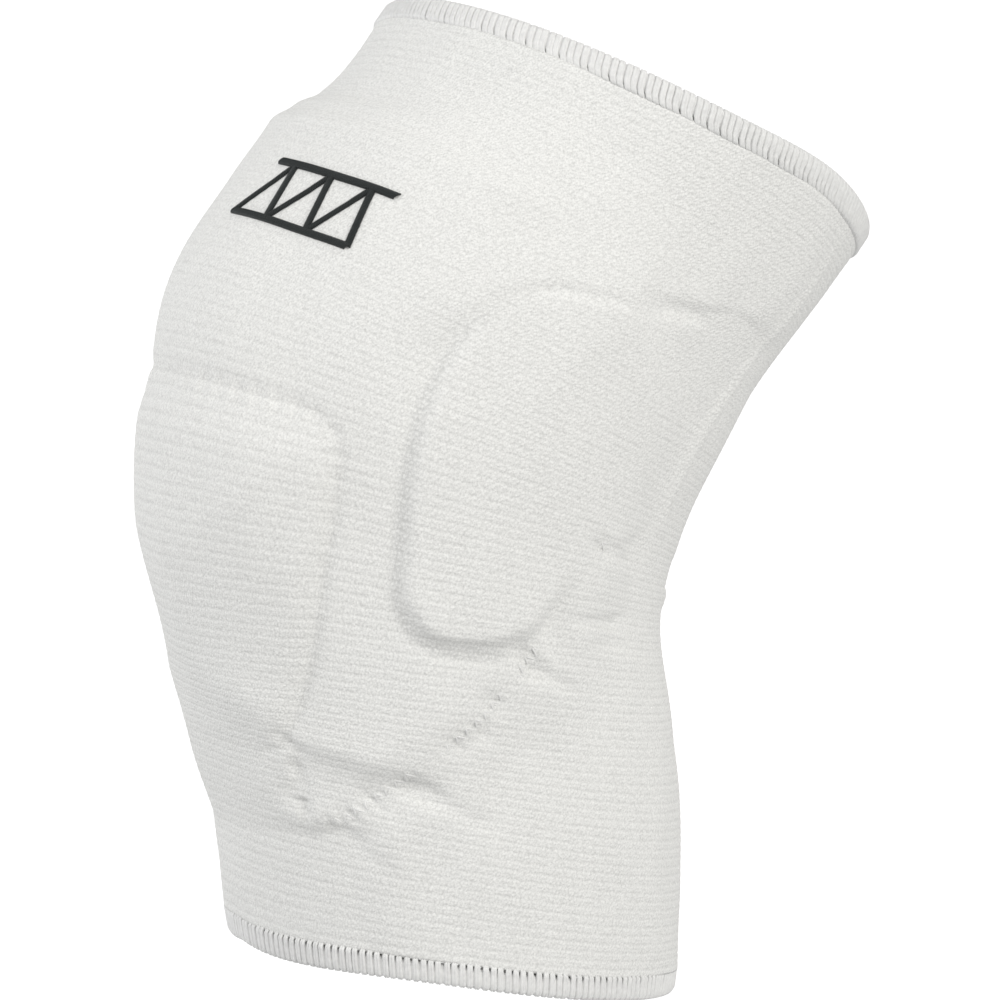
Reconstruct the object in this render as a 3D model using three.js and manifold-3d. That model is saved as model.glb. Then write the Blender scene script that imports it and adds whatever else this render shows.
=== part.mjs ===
// Volleyball knee pad: a knitted tube worn on a bent knee, with a foam pad over the kneecap, a foam
// pad on each side of the knee, and a thin panel of cloth stitched inside the tube that holds them.
// Millimetres. +Z runs up the leg, -Y is the front of the knee, +X is the outer side of the leg.
// The origin is the centre of the hollow at the bend of the knee.
import * as THREE from "three";
import { mergeVertices } from "three/addons/utils/BufferGeometryUtils.js";
import Module from "manifold-3d";

const wasm = await Module();
wasm.setup();

// The tube, measured along the side of the leg from the shin hem to the thigh hem
const SLEEVE_LENGTH = 234;
const SLEEVE_WALL = 2;
const GAP = 0.3;

// The leg inside the tube: front to back, side to side
const SHIN_DEPTH = 113;
const SHIN_WIDTH = 103;
const KNEE_DEPTH = 123.5;
const KNEE_WIDTH = 101;
const THIGH_DEPTH = 133;
const THIGH_WIDTH = 126;

// Where the two hems lie from the centre of the knee, and how far the thigh hem tips up at the front
const SHIN_DROP = 111.6;
const SHIN_SETBACK = 8;
const THIGH_RISE = 99.4;
const THIGH_SETBACK = 57.7;
const THIGH_TILT = 27;

// The overlocked bands that close the two ends
const HEM_HEIGHT = 5.6;
const HEM_WALL = 3;
const HEM_CORNERS = 6;
const HEM_SQUARENESS = 0.6;

// The inner panel: its reach round the leg from the middle of the front, its two ends along the tube
const PANEL_WALL = 1.8;
const PANEL_EASE = 0.8;
const PANEL_REACH = 121;
const PANEL_FOOT = 33;
const PANEL_TOP = 198.5;
const PANEL_EDGE = 7;
const PANEL_HEM = 6;

// The kneecap pad
const KNEE_PAD_WIDTH = 101;
const KNEE_PAD_FOOT = 50;
const KNEE_PAD_TOP = 131;
const KNEE_PAD_STEP = 1.6;
const KNEE_PAD_CROWN = 4.6;

// The two side pads: nearest and furthest reach round the leg, and their ends along the tube
const SIDE_PAD_NEAR = 62;
const SIDE_PAD_FAR = 116;
const SIDE_PAD_FOOT = 86;
const SIDE_PAD_TOP = 182;
const SIDE_PAD_STEP = 3.2;
const SIDE_PAD_CROWN = 1.6;

// The thin pad above the kneecap pad
const THIGH_PAD_WIDTH = 108;
const THIGH_PAD_FOOT = 131;
const THIGH_PAD_TOP = 196;

// How the knit bridges the hollow between the kneecap pad, the thigh pad and the side pads
const BRIDGE_LIFT = 3;
const BRIDGE_FOOT = 38;
const BRIDGE_SLOPE = 18;
const BRIDGE_HEAD = 165;
const BRIDGE_REACH = 88;
const BRIDGE_TAPER = 35;

const PAD_EDGE = 6;
const PAD_INSET = 4;
const PAD_EASE = 0.8;
const PAD_RIM = 1;

// The embroidered motif on the front of the thigh: a strip of lacing
const MOTIF_AROUND = 25;
const MOTIF_ALONG = 173;
const MOTIF_WIDTH = 33;
const MOTIF_HEIGHT = 15;
const MOTIF_LINE = 1.6;
const MOTIF_TURNS = 6;
const MOTIF_LEAN = 0.25;
const MOTIF_WALL = 0.8;
const MOTIF_THREAD_WALL = 0.5;
const MOTIF_THREAD_STEPS = 2;
const MOTIF_EASE = 0.6;

// Steps round the leg and along the tube
const COLUMNS = 56;
const ROWS = 30;
const FRONT_CROWDING = 0.3;
const RING_CROWDING = 1.4;
const PANEL_MESH = { spacing: 19, rings: 8 };
const KNEE_PAD_MESH = { spacing: 9, rings: 5 };
const THIGH_PAD_MESH = { spacing: 11, rings: 5 };
const SIDE_PAD_MESH = { spacing: 9, rings: 3 };

const SHIN = { rise: -SHIN_DROP, setback: SHIN_SETBACK };
const THIGH = { rise: THIGH_RISE, setback: THIGH_SETBACK };
const SHIN_GIRTH = { depth: SHIN_DEPTH, width: SHIN_WIDTH };
const KNEE_GIRTH = { depth: KNEE_DEPTH, width: KNEE_WIDTH };
const THIGH_GIRTH = { depth: THIGH_DEPTH, width: THIGH_WIDTH };

// Sections of the leg from hem to hem. along is a share of the length. rise and setback are shares of
// the place of the hem that the row names, depth and width are shares of the girth that it names, and
// tilt is a share of the tilt of the thigh hem.
const SECTIONS = [
  {
    along: 0, hem: SHIN, rise: 1, setback: 1,
    girth: SHIN_GIRTH, depth: 1, width: 1, tilt: 0.43,
  },
  {
    along: 0.15, hem: SHIN, rise: 0.69, setback: 0.81,
    girth: SHIN_GIRTH, depth: 1.08, width: 1.01, tilt: 0.526,
  },
  {
    along: 0.3, hem: SHIN, rise: 0.394, setback: 0.66,
    girth: KNEE_GIRTH, depth: 0.959, width: 1.01, tilt: 0.43,
  },
  {
    along: 0.45, hem: SHIN, rise: 0.085, setback: 0,
    girth: KNEE_GIRTH, depth: 1.008, width: 1, tilt: 0.58,
  },
  {
    along: 0.6, hem: THIGH, rise: 0.257, setback: 0.076,
    girth: KNEE_GIRTH, depth: 1.112, width: 1.05, tilt: 0.825,
  },
  {
    along: 0.75, hem: THIGH, rise: 0.557, setback: 0.374,
    girth: THIGH_GIRTH, depth: 1.021, width: 0.9, tilt: 0.87,
  },
  {
    along: 0.9, hem: THIGH, rise: 0.821, setback: 0.761,
    girth: THIGH_GIRTH, depth: 0.996, width: 0.96, tilt: 0.955,
  },
  {
    along: 1, hem: THIGH, rise: 1, setback: 1,
    girth: THIGH_GIRTH, depth: 1, width: 1, tilt: 1,
  },
].map((row) => ({
  along: row.along,
  up: row.rise * row.hem.rise,
  back: row.setback * row.hem.setback,
  depth: row.depth * row.girth.depth,
  width: row.width * row.girth.width,
  tilt: THREE.MathUtils.degToRad(row.tilt * THIGH_TILT),
}));

// Outlines on the flat map of the tube. across is a share of the reach named above each table, along
// is a share of the way from the foot to the top of the piece, and round is the corner's own radius.
const PANEL_CORNERS = [
  { across: 0.34, along: 0, round: 8 },
  { across: 1, along: 0.55, round: 26 },
  { across: 1, along: 0.765, round: 22 },
  { across: 0.7, along: 1, round: 12 },
];
const KNEE_PAD_CORNERS = [
  { across: 0.545, along: 0, round: 5 },
  { across: 0.96, along: 0.79, round: 24 },
  { across: 1, along: 1, round: 14 },
];
const THIGH_PAD_CORNERS = [
  { across: 1, along: 0, round: 10 },
  { across: 0.94, along: 1, round: 16 },
];
const SIDE_PAD_CORNERS = [
  { across: 0, along: 0, round: 9 },
  { across: 0.45, along: 0, round: 10 },
  { across: 1, along: 0.4, round: 25 },
  { across: 1, along: 0.71, round: 15 },
  { across: 0.8, along: 0.985, round: 8 },
  { across: 0.15, along: 0.9, round: 16 },
];

// A cubic through one column of the sections, whose slope at each row is weighed from both sides.
function sectionValue(column, t) {
  const last = SECTIONS.length - 1;
  const slope = (i) => {
    const step = (k) => SECTIONS[k + 1].along - SECTIONS[k].along;
    const rise = (k) => (SECTIONS[k + 1][column] - SECTIONS[k][column]) / step(k);
    if (i === 0) return 1.5 * rise(0) - 0.5 * slope(1);
    if (i === last) return 1.5 * rise(last - 1) - 0.5 * slope(last - 1);
    return (rise(i - 1) * step(i) + rise(i) * step(i - 1)) / (step(i) + step(i - 1));
  };
  let i = SECTIONS.findIndex((row) => row.along > t) - 1;
  if (i < 0) i = t < 0 ? 0 : last - 1;
  const a = SECTIONS[i];
  const b = SECTIONS[i + 1];
  const span = b.along - a.along;
  const u = (t - a.along) / span;
  return (
    (1 + 2 * u) * (1 - u) ** 2 * a[column] +
    u * (1 - u) ** 2 * span * slope(i) +
    u * u * (3 - 2 * u) * b[column] +
    u * u * (u - 1) * span * slope(i + 1)
  );
}

function sectionAt(t) {
  const half = (column) => sectionValue(column, t) / 2;
  return {
    up: sectionValue("up", t),
    back: sectionValue("back", t),
    tilt: sectionValue("tilt", t),
    halfDepth: half("depth"),
    halfWidth: half("width"),
  };
}

// Where the two rims leave their planes: at is an angle in degrees, the same on both sides, spread
// is the reach of the wave round the leg, and rise its height in mm.
const RIM_REACH = 0.2;
const RIM_WAVES = [
  { edge: 0, at: 15, spread: 35, rise: -3.6 },
  { edge: 1, at: 118, spread: 25, rise: 3 },
];

// Each wave is a bell round the leg, and dies away along the tube from its own rim.
function rimWave(angle, t) {
  const turned = THREE.MathUtils.radToDeg(Math.abs(Math.atan2(Math.sin(angle), Math.cos(angle))));
  let rise = 0;
  for (const wave of RIM_WAVES) {
    const fade = Math.max(0, 1 - Math.abs(t - wave.edge) / RIM_REACH) ** 2;
    rise += wave.rise * fade * Math.exp(-(((turned - wave.at) / wave.spread) ** 2));
  }
  return rise;
}

// The skin of the leg: an oval across each section, tipped up at the front. angle 0 is the middle of
// the front, and grows towards the outer side.
function legPoint(angle, t) {
  const s = sectionAt(t);
  const forward = s.halfDepth * Math.cos(angle);
  return new THREE.Vector3(
    s.halfWidth * Math.sin(angle),
    s.back - forward * Math.cos(s.tilt),
    s.up + forward * Math.sin(s.tilt) + rimWave(angle, t),
  );
}

// The point a given distance out from the skin, square to it.
function lifted(angle, t, distance) {
  const step = 1e-3;
  const round = legPoint(angle + step, t).sub(legPoint(angle - step, t));
  const up = legPoint(angle, t + step).sub(legPoint(angle, t - step));
  const out = round.cross(up).normalize();
  return legPoint(angle, t).addScaledVector(out, distance);
}

// How far a share of the length carries a point, in mm, at this angle.
function stretchAlong(angle, t) {
  const step = 1e-3;
  return legPoint(angle, t + step).distanceTo(legPoint(angle, t - step)) / (2 * step);
}

// Arc length from the middle of the front to an angle, on an oval that is nearly round.
function around(angle, t) {
  const s = sectionAt(t);
  const mean = (s.halfDepth + s.halfWidth) / 2;
  return mean * angle - ((s.halfDepth - s.halfWidth) / 4) * Math.sin(2 * angle);
}

function angleAt(arc, t) {
  const s = sectionAt(t);
  const mean = (s.halfDepth + s.halfWidth) / 2;
  let angle = arc / mean;
  for (let pass = 0; pass < 4; pass++) {
    angle += (arc - around(angle, t)) / mean;
  }
  return angle;
}

// A closed outline with each corner rounded by a curve that starts and ends one radius away from it.
function roundedOutline(corners) {
  const path = new THREE.Path();
  corners.forEach((corner, i) => {
    const before = corners[(i + corners.length - 1) % corners.length].at;
    const after = corners[(i + 1) % corners.length].at;
    const towards = (other) => {
      const way = other.clone().sub(corner.at);
      return way.setLength(Math.min(corner.round, way.length() / 2)).add(corner.at);
    };
    const start = towards(before);
    const end = towards(after);
    if (i === 0) path.moveTo(start.x, start.y);
    else path.lineTo(start.x, start.y);
    path.quadraticCurveTo(corner.at.x, corner.at.y, end.x, end.y);
  });
  path.closePath();
  return path;
}

function mirrored(rows) {
  return [...rows, ...rows.map((row) => ({ ...row, across: -row.across })).reverse()];
}

function outlineOf(rows, near, far, foot, top) {
  return roundedOutline(
    rows.map((row) => ({
      round: row.round,
      at: new THREE.Vector2(near + row.across * (far - near), foot + row.along * (top - foot)),
    })),
  );
}

const PANEL_OUTLINE = outlineOf(mirrored(PANEL_CORNERS), 0, PANEL_REACH, PANEL_FOOT, PANEL_TOP);
const KNEE_PAD_OUTLINE = outlineOf(
  mirrored(KNEE_PAD_CORNERS),
  0,
  KNEE_PAD_WIDTH / 2,
  KNEE_PAD_FOOT,
  KNEE_PAD_TOP,
);
const THIGH_PAD_OUTLINE = outlineOf(
  mirrored(THIGH_PAD_CORNERS),
  0,
  THIGH_PAD_WIDTH / 2,
  THIGH_PAD_FOOT,
  THIGH_PAD_TOP,
);
const SIDE_PAD_OUTLINE = outlineOf(
  SIDE_PAD_CORNERS,
  SIDE_PAD_NEAR,
  SIDE_PAD_FAR,
  SIDE_PAD_FOOT,
  SIDE_PAD_TOP,
);

// How far a place on the map lies inside an outline, less than zero outside it.
function depthInside(points, x, y) {
  let nearest = Infinity;
  let inside = false;
  points.forEach((b, i) => {
    const a = points[(i + points.length - 1) % points.length];
    const dx = b.x - a.x;
    const dy = b.y - a.y;
    const length = dx * dx + dy * dy;
    if (length === 0) return;
    const share = THREE.MathUtils.clamp(((x - a.x) * dx + (y - a.y) * dy) / length, 0, 1);
    nearest = Math.min(nearest, Math.hypot(a.x + share * dx - x, a.y + share * dy - y));
    if (a.y > y !== b.y > y && x < a.x + ((y - a.y) / dy) * dx) inside = !inside;
  });
  return inside ? nearest : -nearest;
}

const OUTLINE_STEPS = 6;
const PANEL_POINTS = PANEL_OUTLINE.getPoints(OUTLINE_STEPS);
const KNEE_PAD_POINTS = KNEE_PAD_OUTLINE.getPoints(OUTLINE_STEPS);
const SIDE_PAD_POINTS = SIDE_PAD_OUTLINE.getPoints(OUTLINE_STEPS);

const ramp = (x) => THREE.MathUtils.smoothstep(x, 0, 1);
const crown = (x) => 1 - (1 - THREE.MathUtils.clamp(x, 0, 1)) ** 2;

// Height of the inner face of the knit above the skin: the panel, the bridge between the pads, and the
// pads themselves, each with its own edge and its own crown.
function knitLift(arc, along) {
  const side = Math.abs(arc);
  const panel = depthInside(PANEL_POINTS, side, along);
  const knee = depthInside(KNEE_PAD_POINTS, side, along);
  const flank = depthInside(SIDE_PAD_POINTS, side, along);
  const kneeReach = (KNEE_PAD_TOP - KNEE_PAD_FOOT) / 2;
  const flankReach = (SIDE_PAD_FAR - SIDE_PAD_NEAR) / 2;
  const bridge =
    ramp((along - BRIDGE_FOOT) / BRIDGE_SLOPE) *
    (1 -
      ramp((along - BRIDGE_HEAD) / kneeReach + 1) *
        ramp((side - THIGH_PAD_WIDTH / 2) / BRIDGE_TAPER)) *
    (1 - ramp((side - BRIDGE_REACH + flankReach) / flankReach)) *
    ramp(panel / PANEL_EDGE);
  return (
    (PANEL_WALL + PANEL_EASE) * ramp((panel + PANEL_HEM) / PANEL_EDGE) +
    BRIDGE_LIFT * bridge +
    KNEE_PAD_STEP * ramp(knee / PAD_EDGE) +
    KNEE_PAD_CROWN * crown(knee / kneeReach) +
    SIDE_PAD_STEP * ramp(flank / PAD_EDGE) +
    SIDE_PAD_CROWN * crown(flank / flankReach)
  );
}

// Folds that the bend of the knee presses into the knit, as shallow valleys between two places on the
// map. across is a share of half the knee's girth, along is a share of the length.
const FOLD_WIDTH = 5;
const FOLD_DEPTH = 1.3;
const FOLDS = [
  { from: { across: 0.66, along: 0.425 }, to: { across: 1.02, along: 0.44 }, depth: 1 },
  { from: { across: 0.74, along: 0.52 }, to: { across: 1.02, along: 0.505 }, depth: 0.8 },
  { from: { across: 0.74, along: 0.795 }, to: { across: 0.86, along: 0.8 }, depth: 0.6 },
];
const HALF_GIRTH = (Math.PI * (KNEE_DEPTH + KNEE_WIDTH)) / 4;

function foldDepth(arc, along) {
  let depth = 0;
  for (const fold of FOLDS) {
    const from = new THREE.Vector2(fold.from.across * HALF_GIRTH, fold.from.along * SLEEVE_LENGTH);
    const to = new THREE.Vector2(fold.to.across * HALF_GIRTH, fold.to.along * SLEEVE_LENGTH);
    const way = to.clone().sub(from);
    const here = new THREE.Vector2(Math.abs(arc), along).sub(from);
    const share = THREE.MathUtils.clamp(here.dot(way) / way.lengthSq(), 0, 1);
    const away = here.addScaledVector(way, -share).length();
    depth += fold.depth * FOLD_DEPTH * Math.exp(-((away / FOLD_WIDTH) ** 2));
  }
  return depth;
}

// A closed body from a grid of points whose columns run round and join up. Its rows join up too, or
// end in a point at each end.
function gridSolid(columns, rows, ends, pointAt) {
  const points = [];
  const index = [];
  for (let j = 0; j < rows; j++) {
    for (let i = 0; i < columns; i++) points.push(pointAt(i, j));
  }
  const quad = (i, j, k) => {
    const next = (i + 1) % columns;
    const [a, b] = [j * columns + i, j * columns + next];
    const [c, d] = [k * columns + i, k * columns + next];
    index.push(a, b, d, a, d, c);
  };
  for (let j = 0; j + 1 < rows; j++) {
    for (let i = 0; i < columns; i++) quad(i, j, j + 1);
  }
  if (ends) {
    points.push(ends[0], ends[1]);
    const first = points.length - 2;
    const top = (rows - 1) * columns;
    for (let i = 0; i < columns; i++) {
      const next = (i + 1) % columns;
      index.push(first, next, i, first + 1, top + i, top + next);
    }
  } else {
    for (let i = 0; i < columns; i++) quad(i, rows - 1, 0);
  }
  return new THREE.BufferGeometry().setFromPoints(points).setIndex(index);
}

// Columns lie closer at the front, where the pads are.
function columnAngle(i) {
  const turn = (2 * Math.PI * i) / COLUMNS;
  return turn - FRONT_CROWDING * Math.sin(turn);
}

// The knit runs from hem to hem, short of each by the hem's height and a gap.
function knitEnds(angle) {
  const end = HEM_HEIGHT + GAP;
  return { low: end / stretchAlong(angle, 0), high: 1 - end / stretchAlong(angle, 1) };
}

// The inner face of the knit at one corner of its grid.
function knitCorner(i, j) {
  const angle = columnAngle(i);
  const { low, high } = knitEnds(angle);
  const t = low + (j / (ROWS - 1)) * (high - low);
  const arc = around(angle > Math.PI ? angle - 2 * Math.PI : angle, t);
  const along = t * SLEEVE_LENGTH;
  return { t, out: knitLift(arc, along) - foldDepth(arc, along) };
}

// The inner face of the knit anywhere, read from the flat triangle of its grid that lies there.
function knitFacet(angle, t) {
  let turn = angle;
  for (let pass = 0; pass < 8; pass++) {
    turn = angle + FRONT_CROWDING * Math.sin(turn);
  }
  const { low, high } = knitEnds(angle);
  const column = (turn * COLUMNS) / (2 * Math.PI);
  const row = ((t - low) / (high - low)) * (ROWS - 1);
  const [i, j] = [Math.floor(column), Math.floor(row)];
  const [x, y] = [column - i, row - j];
  const right = knitCorner(i + 1, j).out;
  const left = knitCorner(i, j + 1).out;
  if (x + y < 1) {
    const near = knitCorner(i, j).out;
    return near + x * (right - near) + y * (left - near);
  }
  const far = knitCorner(i + 1, j + 1).out;
  return far + (1 - x) * (left - far) + (1 - y) * (right - far);
}

function sleeveGeometry() {
  const rows = Array.from({ length: ROWS }, (_, j) => j);
  const steps = [
    ...rows.map((j) => ({ j, wall: SLEEVE_WALL })),
    ...rows.reverse().map((j) => ({ j, wall: 0 })),
  ];
  return gridSolid(COLUMNS, steps.length, null, (i, k) => {
    const { t, out } = knitCorner(i, steps[k].j);
    return lifted(columnAngle(i), t, out + steps[k].wall);
  });
}

// A hem is a flattened roll of the cut edge bound with thread. Its section is worked out in steps
// round an oval that is squared off a little.
function hemGeometry(edge, inwards) {
  const squared = (value) => Math.sign(value) * Math.abs(value) ** HEM_SQUARENESS;
  return gridSolid(COLUMNS, HEM_CORNERS, null, (i, k) => {
    const angle = columnAngle(i);
    const turn = (-2 * Math.PI * inwards * (k + 0.5)) / HEM_CORNERS;
    const height = (HEM_HEIGHT / 2) * (1 + squared(Math.cos(turn)));
    const t = edge + (inwards * height) / stretchAlong(angle, edge);
    return lifted(angle, t, SLEEVE_WALL / 2 + (HEM_WALL / 2) * squared(Math.sin(turn)));
  });
}

// A pad under the knit: rings shrink from its outline to its middle, over the top and back under it.
function padGeometry(path, inset, { spacing, rings }, bottom, top) {
  const outer = path.getSpacedPoints(Math.round(path.getLength() / spacing)).slice(0, -1);
  const outline = outer.map((point, i) => {
    const along = outer[(i + 1) % outer.length].clone().sub(outer.at(i - 1));
    return new THREE.Vector2(-along.y, along.x).setLength(inset).add(point);
  });
  const middle = outline.reduce((sum, p) => sum.add(p), new THREE.Vector2());
  middle.divideScalar(outline.length);
  const at = (place, out) => {
    const t = place.y / SLEEVE_LENGTH;
    const angle = angleAt(place.x, t);
    return lifted(angle, t, out(angle, t));
  };
  const onRing = (i, share) => middle.clone().lerp(outline[i], share);
  const shares = Array.from({ length: rings }, (_, j) => 1 - (j / rings) ** RING_CROWDING);
  const rim = (angle, t) => bottom(angle, t) + PAD_RIM;
  const rows = [
    ...shares.slice().reverse().map((share) => ({ share, out: bottom })),
    ...shares.map((share, j) => ({ share, out: j === 0 ? rim : top })),
  ];
  return gridSolid(outline.length, rows.length, [at(middle, bottom), at(middle, top)], (i, j) =>
    at(onRing(i, rows[j].share), rows[j].out),
  );
}

const panelFace = () => PANEL_WALL;
const padFoot = () => PANEL_WALL + PAD_EASE;
const padHead = (angle, t) => knitFacet(angle, t) - PAD_EASE;

function mirrorAcross(geometry) {
  const other = geometry.clone().scale(-1, 1, 1);
  const index = other.getIndex();
  for (let i = 0; i < index.count; i += 3) {
    const kept = index.getX(i);
    index.setX(i, index.getX(i + 1));
    index.setX(i + 1, kept);
  }
  return other;
}

function solidOf(geometry) {
  geometry.deleteAttribute("normal");
  geometry.deleteAttribute("uv");
  const merged = mergeVertices(geometry, 1e-3);
  return new wasm.Manifold(
    new wasm.Mesh({
      numProp: 3,
      vertProperties: merged.getAttribute("position").array,
      triVerts: new Uint32Array(merged.getIndex().array),
    }),
  );
}

function geometryOf(solid) {
  const mesh = solid.getMesh();
  return new THREE.BufferGeometry()
    .setAttribute("position", new THREE.BufferAttribute(mesh.vertProperties, 3))
    .setIndex(new THREE.BufferAttribute(mesh.triVerts, 1));
}

// Moves a flat shape, drawn in millimetres across and along, on to the knit round the motif's place.
function wrapOnKnit(flat) {
  const place = flat.getAttribute("position");
  for (let i = 0; i < place.count; i++) {
    const along = MOTIF_ALONG + place.getY(i);
    const arc = MOTIF_AROUND + place.getX(i) + MOTIF_LEAN * place.getY(i);
    const t = along / SLEEVE_LENGTH;
    const out = SLEEVE_WALL + knitLift(arc, along) + MOTIF_EASE + place.getZ(i);
    const point = lifted(angleAt(arc, t), t, out);
    place.setXYZ(i, point.x, point.y, point.z);
  }
  return flat;
}

// One line of satin stitches between two places on the motif, cut across in steps so that it bends.
function motifLine(from, to, wall, steps) {
  const way = to.clone().sub(from);
  const middle = from.clone().lerp(to, 0.5);
  const line = new THREE.BoxGeometry(way.length(), MOTIF_LINE, wall, steps, 1, 1);
  line.rotateZ(way.angle()).translate(middle.x, middle.y, MOTIF_WALL / 2);
  return solidOf(wrapOnKnit(line));
}

// The motif is a strip of lacing: a cord above and a cord below, and a finer thread to and fro between.
function motifGeometry() {
  const [reach, rise] = [MOTIF_WIDTH / 2, MOTIF_HEIGHT / 2];
  const at = (i, side) => new THREE.Vector2(((2 * i) / MOTIF_TURNS - 1) * reach, side * rise);
  const end = MOTIF_LINE / MOTIF_WIDTH;
  const cord = (side) =>
    motifLine(at(-end, side), at(MOTIF_TURNS + end, side), MOTIF_WALL, MOTIF_TURNS);
  let motif = cord(-1).add(cord(1));
  for (let i = 0; i < MOTIF_TURNS; i++) {
    const side = i % 2 === 0 ? -1 : 1;
    motif = motif.add(
      motifLine(at(i, side), at(i + 1, -side), MOTIF_THREAD_WALL, MOTIF_THREAD_STEPS),
    );
  }
  return geometryOf(motif);
}

function fabric(color, roughness) {
  return new THREE.MeshStandardMaterial({ color, roughness, metalness: 0 });
}

const whiteKnit = fabric(0xe6e6e2, 0.9);
const whiteThread = fabric(0xdededa, 0.8);
const liningKnit = fabric(0xdcdcd6, 0.95);
const foam = fabric(0xf0eee4, 0.85);
const darkThread = fabric(0x23282a, 0.6);

const kneePad = new THREE.Group();

function add(name, geometry, material) {
  geometry.computeVertexNormals();
  const mesh = new THREE.Mesh(geometry, material);
  mesh.name = name;
  kneePad.add(mesh);
}

const sidePad = padGeometry(SIDE_PAD_OUTLINE, PAD_INSET, SIDE_PAD_MESH, padFoot, padHead);

const panel = padGeometry(PANEL_OUTLINE, PANEL_HEM, PANEL_MESH, () => 0, panelFace);
const kneecap = padGeometry(KNEE_PAD_OUTLINE, PAD_INSET, KNEE_PAD_MESH, padFoot, padHead);
const thighPad = padGeometry(THIGH_PAD_OUTLINE, PAD_INSET, THIGH_PAD_MESH, padFoot, padHead);

add("sleeve", sleeveGeometry(), whiteKnit);
add("shin_hem", hemGeometry(0, 1), whiteThread);
add("thigh_hem", hemGeometry(1, -1), whiteThread);
add("pad_panel", panel, liningKnit);
add("knee_pad", kneecap, foam);
add("thigh_pad", thighPad, foam);
add("side_pad_outer", sidePad, foam);
add("side_pad_inner", mirrorAcross(sidePad), foam);
add("front_motif", motifGeometry(), darkThread);

export default kneePad;
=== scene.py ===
"""A white knitted volleyball knee pad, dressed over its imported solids.

The functions work in millimetres, and a mesh turns them into metres when it is made. +Z runs up
the leg, -Y is the front of the knee and +X is the outer side of the leg. A place on the knit is
given on a flat map: arc, the way round from the middle of the front, and along, the way up from the
shin hem. A height is a distance out from the skin of the leg.
"""
import math

import bpy
import numpy as np
from bpy.props import FloatProperty, FloatVectorProperty, IntProperty, PointerProperty
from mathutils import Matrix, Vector

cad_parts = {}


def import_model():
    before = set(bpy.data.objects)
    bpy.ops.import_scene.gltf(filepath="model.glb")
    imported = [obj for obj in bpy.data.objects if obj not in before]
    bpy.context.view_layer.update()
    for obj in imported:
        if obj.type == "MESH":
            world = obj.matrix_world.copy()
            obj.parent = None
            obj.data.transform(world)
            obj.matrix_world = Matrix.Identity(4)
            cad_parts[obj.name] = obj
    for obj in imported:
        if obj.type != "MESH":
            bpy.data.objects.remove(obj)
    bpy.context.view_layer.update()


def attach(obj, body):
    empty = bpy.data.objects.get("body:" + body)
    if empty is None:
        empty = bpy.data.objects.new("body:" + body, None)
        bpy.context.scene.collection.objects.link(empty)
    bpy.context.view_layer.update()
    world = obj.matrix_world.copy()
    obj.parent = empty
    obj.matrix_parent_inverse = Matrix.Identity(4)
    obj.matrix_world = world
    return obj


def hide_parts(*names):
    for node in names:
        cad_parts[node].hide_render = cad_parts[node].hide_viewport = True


bl_info = {
    "name": "Knitted Knee Pad",
    "version": (1, 0, 0),
    "blender": (4, 5, 0),
    "location": "View3D > Sidebar > Knee Pad",
    "description": "Knit, seams, foam and studio for a volleyball knee pad worn on a bent knee",
    "category": "Object",
}

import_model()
MM = 0.001

# The tube and the leg inside it
SLEEVE_LENGTH = 234.0
SLEEVE_WALL = 2.0
GAP = 0.3
SHIN_GIRTH = {"depth": 113.0, "width": 103.0}
KNEE_GIRTH = {"depth": 123.5, "width": 101.0}
THIGH_GIRTH = {"depth": 133.0, "width": 126.0}
SHIN_HEM = {"rise": -111.6, "setback": 8.0}
THIGH_HEM = {"rise": 99.4, "setback": 57.7}
THIGH_TILT = 27.0
HEM_HEIGHT = 5.6
HEM_WALL = 3.0

# The panel and the pads on the flat map
PANEL_WALL = 1.8
PANEL_EASE = 0.8
PANEL_REACH = 121.0
PANEL_FOOT = 33.0
PANEL_TOP = 198.5
PANEL_EDGE = 7.0
PANEL_HEM = 6.0
KNEE_PAD_WIDTH = 101.0
KNEE_PAD_FOOT = 50.0
KNEE_PAD_TOP = 131.0
KNEE_PAD_STEP = 1.6
KNEE_PAD_CROWN = 4.6
SIDE_PAD_NEAR = 62.0
SIDE_PAD_FAR = 116.0
SIDE_PAD_FOOT = 86.0
SIDE_PAD_TOP = 182.0
SIDE_PAD_STEP = 3.2
SIDE_PAD_CROWN = 1.6
THIGH_PAD_WIDTH = 108.0
THIGH_PAD_FOOT = 131.0
THIGH_PAD_TOP = 196.0
BRIDGE_LIFT = 3.0
BRIDGE_FOOT = 38.0
BRIDGE_SLOPE = 18.0
BRIDGE_HEAD = 165.0
BRIDGE_REACH = 88.0
BRIDGE_TAPER = 35.0
PAD_EDGE = 6.0
PAD_INSET = 4.0
PAD_EASE = 0.8
PAD_RINGS = 14
PANEL_RINGS = 40
RING_CROWDING = 1.4

MOTIF_AROUND = 25.0
MOTIF_ALONG = 173.0
MOTIF_WIDTH = 33.0
MOTIF_HEIGHT = 15.0
MOTIF_LINE = 1.6
MOTIF_TURNS = 6
MOTIF_LEAN = 0.25

# How much closer the knit's columns lie at the front than at the back, and its columns and rows to
# a rib
FRONT_CROWDING = 0.3
SLEEVE_COLUMNS = 300
ROWS_PER_RIB = 3

# A step for slopes, as an angle or a share of the length
SMALL = 1e-3

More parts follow.
